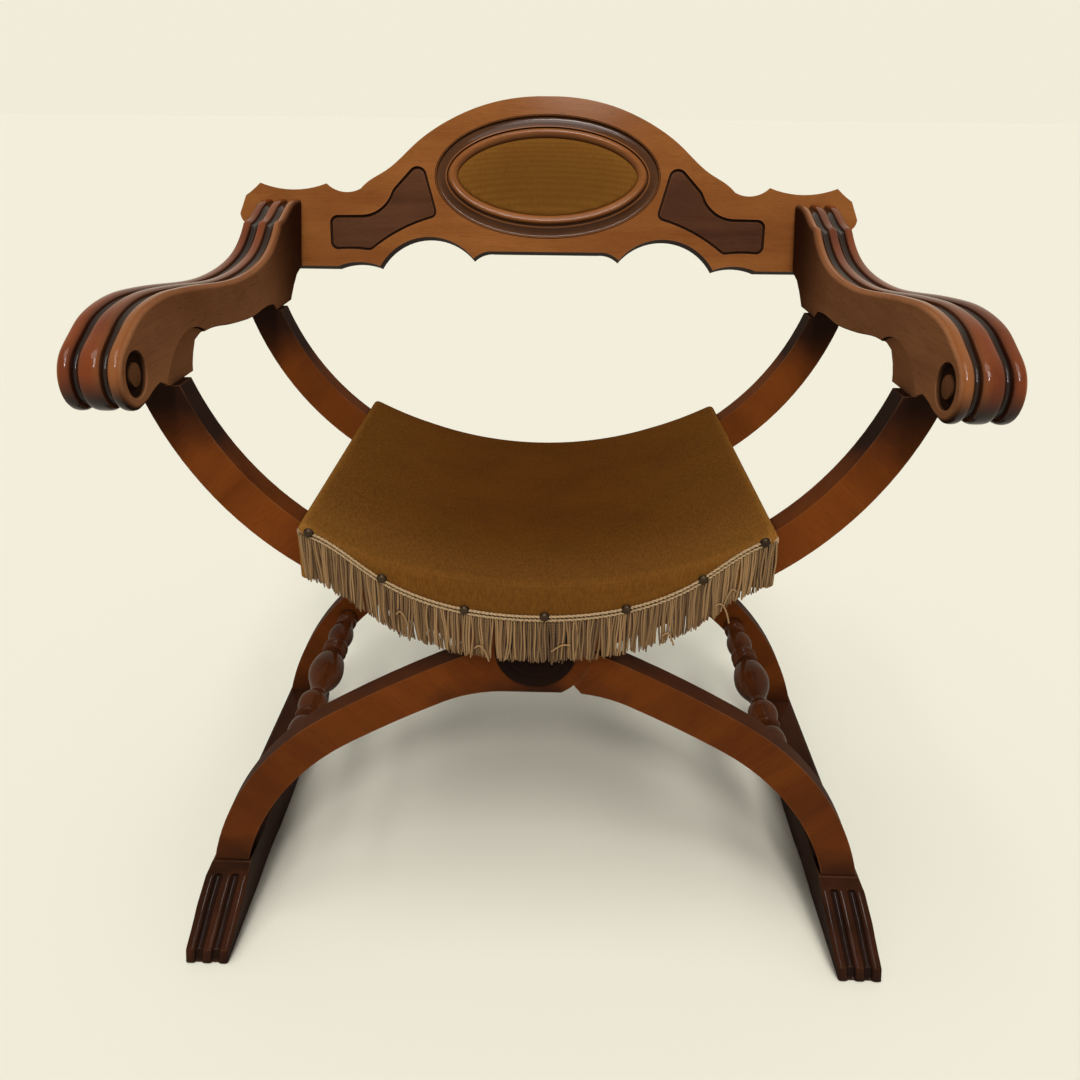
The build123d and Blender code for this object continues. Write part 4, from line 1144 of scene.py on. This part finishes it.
def mark_wear_and_sheen(piece):
    """Marks where the pile is worn, along the edges and most at the front corners, and where sheen is
    painted: along the edges, at the front and towards the sides.
    """
    mesh = piece.data
    values = []
    for vert in mesh.vertices:
        x, y, _ = drawn_place(vert)
        side = math.exp(-((SEAT_HALF - 3 - abs(x)) / 4.0) ** 2)
        near = math.exp(-(max(0.0, y - SEAT_FRONT) / 70.0) ** 2)
        corner = math.exp(-(math.hypot(SEAT_HALF - abs(x), y - SEAT_FRONT) / 12.0) ** 2)
        # worn edges and front corners, with painted sheen along the edges and at the front
        worn = 0.42 * side * (1 - max(0.0, y - 120) / 400) + 0.34 * near + 0.6 * corner
        # painted sheen, growing towards the seat's sides
        worn += 0.34 * (abs(x) / SEAT_HALF) ** 2.2 * (1 - max(0.0, y - 120) / 500)
        values.append(min(1.0, worn))
    mesh.attributes.new("wear_and_sheen", "FLOAT", "POINT").data.foreach_set("value", values)


# ---- Trim ---------------------------------------------------------------------------

def tube(bm, path, radii, sides, tone, twist):
    """A round strand along a path, with its shade and its twist as attributes."""
    p = np.array(path)
    along = np.gradient(p, axis=0)
    along /= np.linalg.norm(along, axis=1)[:, None]
    out = np.cross(along, (0.0, 1.0, 0.0) if abs(along[0][1]) < 0.8 else (0.0, 0.0, 1.0))
    out /= np.linalg.norm(out, axis=1)[:, None]
    up = np.cross(along, out)
    travel = np.concatenate([[0.0], np.cumsum(np.linalg.norm(np.diff(p, axis=0), axis=1))])
    angles = [math.tau * j / sides for j in range(sides)]
    rows, plies = [], []
    for k, centre in enumerate(p):
        spokes = (math.cos(a) * out[k] + math.sin(a) * up[k] for a in angles)
        rows.append([tuple(centre + radii[k] * spoke) for spoke in spokes])
        plies.append([a + travel[k] * twist for a in angles])
    loft(bm, rows, layers={"tone": [[tone] * sides] * len(rows), "ply": plies})


def fringe_strands(material, settings):
    """Two layers of cut strands that hang in uneven tufts below the braid, with a few astray."""
    rng = random.Random(7)
    bm = bmesh.new()
    radius = settings.strand_radius * 1000
    for layer, proud in ((0, 0.9), (1, 2.2)):
        tops = trim_line(BRAID_BELOW - TUCKED, settings.strands)[1:-1]
        index = 0
        while index < len(tops):
            tuft = tops[index:index + rng.randint(2, 8)]
            index += len(tuft)
            middle = sum(x for x, _ in tuft) / len(tuft)
            lean, pinch, out = rng.gauss(0, 1.0), rng.uniform(0.5, 1.0), rng.gauss(0, 0.5)
            for x, z in tuft:
                bow, wave = rng.gauss(0, 0.7), rng.uniform(0, math.tau)
                drop = FRINGE_DROP - BRAID_BELOW + TUCKED + rng.gauss(0, 1.2) - 1.5 * layer
                path = []
                for k in range(8):
                    down = k / 7
                    side = lean * down ** 1.6 + (middle - x) * (1 - pinch) * down ** 1.5
                    side += bow * math.sin(math.pi * down) + 0.3 * math.sin(wave + 7 * down)
                    y = trim_y(x, proud) - out * down - 0.8 * down * (1 - down)
                    path.append((x + side, y, z - drop * down))
                thick = radius * rng.uniform(0.8, 1.15)
                radii = [thick * 0.9] + [thick] * 5 + [thick * 0.95, thick * 0.6]
                # The back layer's strands are dimmed as painted shade behind the front layer.
                tube(bm, path, radii, 6, rng.uniform(0.1, 1.0) * (0.6 if layer == 0 else 1.0), 2.6)
    for x, z, reach, fall in STRAY_THREADS:
        path = []
        for t in (k / 9 for k in range(10)):
            arch = math.sin(math.pi * t)
            path.append((x + reach * t, SEAT_FRONT - 3.6 - 1.2 * arch, z + fall * t * t + 5 * arch))
        tube(bm, path, [radius * 0.8] * 10, 6, 0.9, 2.6)
    placed(bm, "fringe_strands", "seat", material, ["fringe"], sharp=80)


def fringe_header(material):
    """The braid: two twisted cords over a flat tape, whose low tone paints the shade of the slit between
    them.
    """
    bm = bmesh.new()
    count = 160
    across = [(-BRAID_ABOVE + 0.6, 0.1), (-BRAID_ABOVE + 0.8, 0.8), (1.2, 1.0), (BRAID_BELOW - 0.8, 1.0),
              (BRAID_BELOW, 0.1)]
    keep = [k for k, (x, _) in enumerate(trim_line(0, count)) if abs(x) < BRAID_HALF]
    rows = []
    for drop, proud in across:
        line = trim_line(drop, count)
        rows.append([(line[k][0], trim_y(line[k][0], proud), line[k][1]) for k in keep])
    # The tape's low tone paints the shade in the slit between the cords.
    tones = {"tone": [[0.1] * len(keep)] * len(rows), "ply": [[k * 1.5 for k in keep]] * len(rows)}
    loft(bm, rows, closed=False, caps=False, layers=tones)
    for drop, thick in ((-BRAID_ABOVE + 1.5, 0.95), (BRAID_ABOVE + 1.9, 1.0)):
        line = [point for point in trim_line(drop, 540) if abs(point[0]) < BRAID_HALF]
        for ply in (0, 1):
            path = []
            for k, (x, z) in enumerate(line):
                turn, wide = math.pi * ply + k * math.tau / 9, 0.6 * thick
                path.append((x, trim_y(x, 1.7 - wide * math.cos(turn)), z + wide * math.sin(turn)))
            tube(bm, path, [thick * 0.8] * len(path), 6, 0.8 + 0.2 * ply, 1.6)
    placed(bm, "fringe_header", "seat", material, ["fringe_braid"], sharp=80)


def make_nails(material):
    """Seven hammered dome nails along the braid."""
    bm = bmesh.new()
    dome = [(0.9, 0.0), (0.9, NAIL_RADIUS), (0.2, 4.3), (-0.35, 4.25), (-0.7, NAIL_RADIUS)]
    for a in (math.radians(90 * k / 8) for k in range(1, 9)):
        dome.append((-0.7 - NAIL_DOME * math.sin(a), NAIL_RADIUS * math.cos(a)))
    for x, z in NAILS:
        one = bmesh.new()
        turned(one, dome, (x, SEAT_FRONT - 2.0, z), 28)
        mesh = bpy.data.meshes.new("nail")
        one.to_mesh(mesh)
        one.free()
        bm.from_mesh(mesh)
        bpy.data.meshes.remove(mesh)
    rng = random.Random(3)
    for vert in bm.verts:
        vert.co.y += rng.gauss(0, 0.03)
    placed(bm, "dome_nails_brass", "seat", material, ["dome_nails"], sharp=50)


# ---- Stage --------------------------------------------------------------------------

FLOOR_SHARE = 0.965        # of the background's colour, at which both look alike under the lamps
CAMERA_AT = (11.55, -701.02, 778.12)
CAMERA_YAW = math.radians(-1.2687)
CAMERA_DOWN = math.radians(24.6207)
CAMERA_ROLL = math.radians(-0.5255)
CAMERA_SHIFT = (0.00704, -0.01284)


def make_camera(settings):
    camera = bpy.data.objects.new("camera", bpy.data.cameras.new("camera"))
    bpy.context.scene.collection.objects.link(camera)
    ahead = Vector((math.sin(CAMERA_YAW), math.cos(CAMERA_YAW), 0.0))
    forward = ahead * math.cos(CAMERA_DOWN) - Vector((0.0, 0.0, math.sin(CAMERA_DOWN)))
    right = Vector((ahead.y, -ahead.x, 0.0))
    down = forward.cross(right)
    level_right = math.cos(CAMERA_ROLL) * right + math.sin(CAMERA_ROLL) * down
    level_down = -math.sin(CAMERA_ROLL) * right + math.cos(CAMERA_ROLL) * down
    turn = Matrix((level_right, -level_down, -forward)).transposed()
    camera.matrix_world = Matrix.Translation(TO_FRAME @ Vector(CAMERA_AT)) @ turn.to_4x4()
    camera.data.sensor_width = 36.0
    camera.data.lens = settings.lens
    camera.data.shift_x, camera.data.shift_y = CAMERA_SHIFT
    camera.data.clip_start = 0.01
    bpy.context.scene.camera = camera


def sun(name, azimuth, elevation, strength, angle):
    """A lamp far away, seen at this azimuth (0 is in front of the chair) and elevation in degrees."""
    lamp = bpy.data.lights.new(name, "SUN")
    lamp.energy = strength
    lamp.angle = math.radians(angle)
    holder = bpy.data.objects.new(name, lamp)
    a, e = math.radians(azimuth), math.radians(elevation)
    towards = Vector((math.sin(a) * math.cos(e), -math.cos(a) * math.cos(e), math.sin(e)))
    holder.rotation_euler = towards.to_track_quat("Z", "Y").to_euler()
    bpy.context.scene.collection.objects.link(holder)


def make_world(settings):
    """Even light that grows towards the top, behind a background of the floor's colour."""
    world = bpy.data.worlds.new("studio")
    bpy.context.scene.world = world
    world.use_nodes = True
    tree = world.node_tree
    light = add(tree, "TexCoord", output="Generated").part("Z").ramp(-0.3, 0.9).mix((0.45,) * 3, (1.5,) * 3)
    even = add(tree, "Mix", {0: 1.0, 6: light, 7: (settings.sky,) * 3}, output=2, data_type="RGBA",
               blend_type="MULTIPLY")
    camera, through_glass, glossy = (add(tree, "LightPath", output=f"Is {kind} Ray")
                                     for kind in ("Camera", "Transmission", "Glossy"))
    seen = camera.math("MAXIMUM", through_glass).math("MAXIMUM", glossy)
    connect(tree, seen.mix(even, settings.floor), tree.nodes["Background"].inputs["Color"])


def make_floor(settings):
    bm = bmesh.new()
    bmesh.ops.create_grid(bm, x_segments=1, y_segments=1, size=60.0)
    floor = shown(bm, "floor", in_frame=True)
    material, tree, place = new_material("pale floor", {"Roughness": 1.0, "Specular IOR Level": 0.0})
    pale = [part * FLOOR_SHARE for part in settings.floor]
    dress(material, {"Base Color": (noise(tree, place, 3.0) * 0.01).mix(pale, (0.8, 0.8, 0.7))})
    floor.data.materials.append(material)


# ---- Operators ----------------------------------------------------------------------

class ARMCHAIR_OT_legs(bpy.types.Operator):
    """Dress the four curved legs"""

    bl_idname = "armchair.legs"
    bl_label = "Legs"

    def execute(self, context):
        tones = context.scene.armchair_wood
        for side, lean in (("a", -1), ("b", 1)):
            turn = (0.0, lean * LEG_LEAN, 0.0)
            material = wood(f"leg wood {side}", tones.leg_light, tones.leg_dark, turn, rubbed=0.3,
                            patina_and_shade=0.75, polish_and_shade=0.93)
            for node in (f"front_leg_{side}", f"rear_leg_{side}"):
                eased_copy(node, f"{node}_wood", material, LEG_EASE)
        return {"FINISHED"}


class ARMCHAIR_OT_arms(bpy.types.Operator):
    """Carve the reeded arms with their volutes"""

    bl_idname = "armchair.arms"
    bl_label = "Arms"

    def execute(self, context):
        tones = context.scene.armchair_wood
        make_arms(wood("arm wood", tones.arm_light, tones.arm_dark, GRAIN_BACK, rubbed=0.18, patina_and_shade=0.6,
                       reach=0.006, coat=0.62, flutes=0.95, under=0.98, gloss=1.4,
                       sides=(tones.side_light, tones.side_dark)))
        return {"FINISHED"}


class ARMCHAIR_OT_runners(bpy.types.Operator):
    """Carve the runners with a paw at each end"""

    bl_idname = "armchair.runners"
    bl_label = "Runners"

    def execute(self, context):
        tones = context.scene.armchair_wood
        make_runners(wood("foot wood", tones.foot_light, tones.foot_dark, GRAIN_BACK, rubbed=0.3,
                          patina_and_shade=0.7, coat=0.1, flutes=0.75))
        return {"FINISHED"}


class ARMCHAIR_OT_turnings(bpy.types.Operator):
    """Turn the stretchers and the rosettes"""

    bl_idname = "armchair.turnings"
    bl_label = "Turnings"

    def execute(self, context):
        tones = context.scene.armchair_wood
        make_turnings(wood("turned wood", tones.turning_light, tones.turning_dark, GRAIN_BACK, rubbed=0.25,
                           patina_and_shade=0.95, reach=0.007, coat=0.3),
                      # The rosettes' dark colours stand in part for the seat's painted shade round the
                      # crossing.
                      wood("rosette wood", tones.foot_dark, tones.patina_and_shade, GRAIN_UP, rubbed=0.25, patina_and_shade=0.9,
                           reach=0.004))
        return {"FINISHED"}


class ARMCHAIR_OT_crest(bpy.types.Operator):
    """Carve the crest board with its panels, oval moulding and velvet pad"""

    bl_idname = "armchair.crest"
    bl_label = "Crest board"

    def execute(self, context):
        tones = context.scene.armchair_wood
        cloth = context.scene.armchair_fabric
        make_crest(wood("crest wood", tones.crest_light, tones.crest_dark, GRAIN_ACROSS, rubbed=0.4,
                        patina_and_shade=0.85, reach=0.005, flutes=0.9, under=0.95,
                        grounds=(tones.ground_light, tones.ground_dark)))
        make_oval(wood("moulding wood", tones.crest_light, tones.crest_dark, GRAIN_ACROSS, rubbed=0.2,
                       patina_and_shade=0.8, reach=0.004, coat=0.4, flutes=0.75))
        oval_pad(velvet("oval velvet", cloth.velvet, cloth.oval_velvet, cloth.velvet_worn_and_sheen))
        return {"FINISHED"}


class ARMCHAIR_OT_seat(bpy.types.Operator):
    """Upholster the seat in velvet"""

    bl_idname = "armchair.seat"
    bl_label = "Seat"

    def execute(self, context):
        cloth = context.scene.armchair_fabric
        padding(velvet("seat velvet", cloth.velvet_deep, cloth.velvet, cloth.velvet_worn_and_sheen))
        return {"FINISHED"}


class ARMCHAIR_OT_trim(bpy.types.Operator):
    """Add the fringe, its braid and the nails"""

    bl_idname = "armchair.trim"
    bl_label = "Fringe and nails"

    def execute(self, context):
        cloth = context.scene.armchair_fabric
        yarn = cotton("fringe cotton", cloth.strand_deep, cloth.strand)
        fringe_strands(yarn, cloth)
        fringe_header(cotton("braid cotton", cloth.strand_deep, cloth.braid))
        make_nails(metal("antique brass", cloth.nail, 0.32, (0.018, 0.012, 0.009)))
        return {"FINISHED"}


class ARMCHAIR_OT_fittings(bpy.types.Operator):
    """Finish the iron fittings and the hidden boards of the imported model"""

    bl_idname = "armchair.fittings"
    bl_label = "Fittings"

    def execute(self, context):
        iron = metal("dull iron", (0.11, 0.10, 0.09), 0.5, (0.03, 0.018, 0.012))
        boards = raw_wood("planed softwood")
        dressed = {"seat_board": boards, "crest_oval_backing": boards}
        for name, node in frame["nodes"].items():
            if not node.hide_render:
                node.data.materials.clear()
                node.data.materials.append(dressed.get(name, iron))
        return {"FINISHED"}


class ARMCHAIR_OT_stage(bpy.types.Operator):
    """Set up the floor, the light and the camera"""

    bl_idname = "armchair.stage"
    bl_label = "Stage"

    def execute(self, context):
        settings = context.scene.armchair_stage
        make_floor(settings)
        make_world(settings)
        sun("key", 2.0, 41.0, 0.8, 7.5)
        sun("front", 4.0, 55.0, 1.0, 20.0)
        sun("ceiling", -20.0, 76.0, 1.07, 34.0)
        make_camera(settings)
        context.scene.view_settings.view_transform = "Standard"
        return {"FINISHED"}


class ARMCHAIR_PT_panel(bpy.types.Panel):
    """Lists the settings and the pieces"""

    bl_idname = "ARMCHAIR_PT_panel"
    bl_label = "Armchair"
    bl_space_type = "VIEW_3D"
    bl_region_type = "UI"
    bl_category = "Armchair"

    def draw(self, context):
        for key in SETTINGS:
            settings = getattr(context.scene, key)
            for name in settings.bl_rna.properties.keys()[2:]:
                self.layout.prop(settings, name)
        for operator in OPERATORS:
            self.layout.operator(operator.bl_idname)


SETTINGS = {"armchair_wood": WoodSettings, "armchair_fabric": FabricSettings, "armchair_stage": StageSettings}
OPERATORS = (ARMCHAIR_OT_legs, ARMCHAIR_OT_arms, ARMCHAIR_OT_runners, ARMCHAIR_OT_turnings, ARMCHAIR_OT_crest,
             ARMCHAIR_OT_seat, ARMCHAIR_OT_trim, ARMCHAIR_OT_fittings, ARMCHAIR_OT_stage)


def register():
    for cls in (*SETTINGS.values(), *OPERATORS, ARMCHAIR_PT_panel):
        bpy.utils.register_class(cls)
    for name, cls in SETTINGS.items():
        setattr(bpy.types.Scene, name, PointerProperty(type=cls))


def unregister():
    for name in SETTINGS:
        delattr(bpy.types.Scene, name)
    for cls in (ARMCHAIR_PT_panel, *reversed(OPERATORS), *SETTINGS.values()):
        bpy.utils.unregister_class(cls)


def main():
    register()
    for operator in OPERATORS:
        getattr(bpy.ops.armchair, operator.bl_idname.partition(".")[2])()


if __name__ == "__main__":
    main()
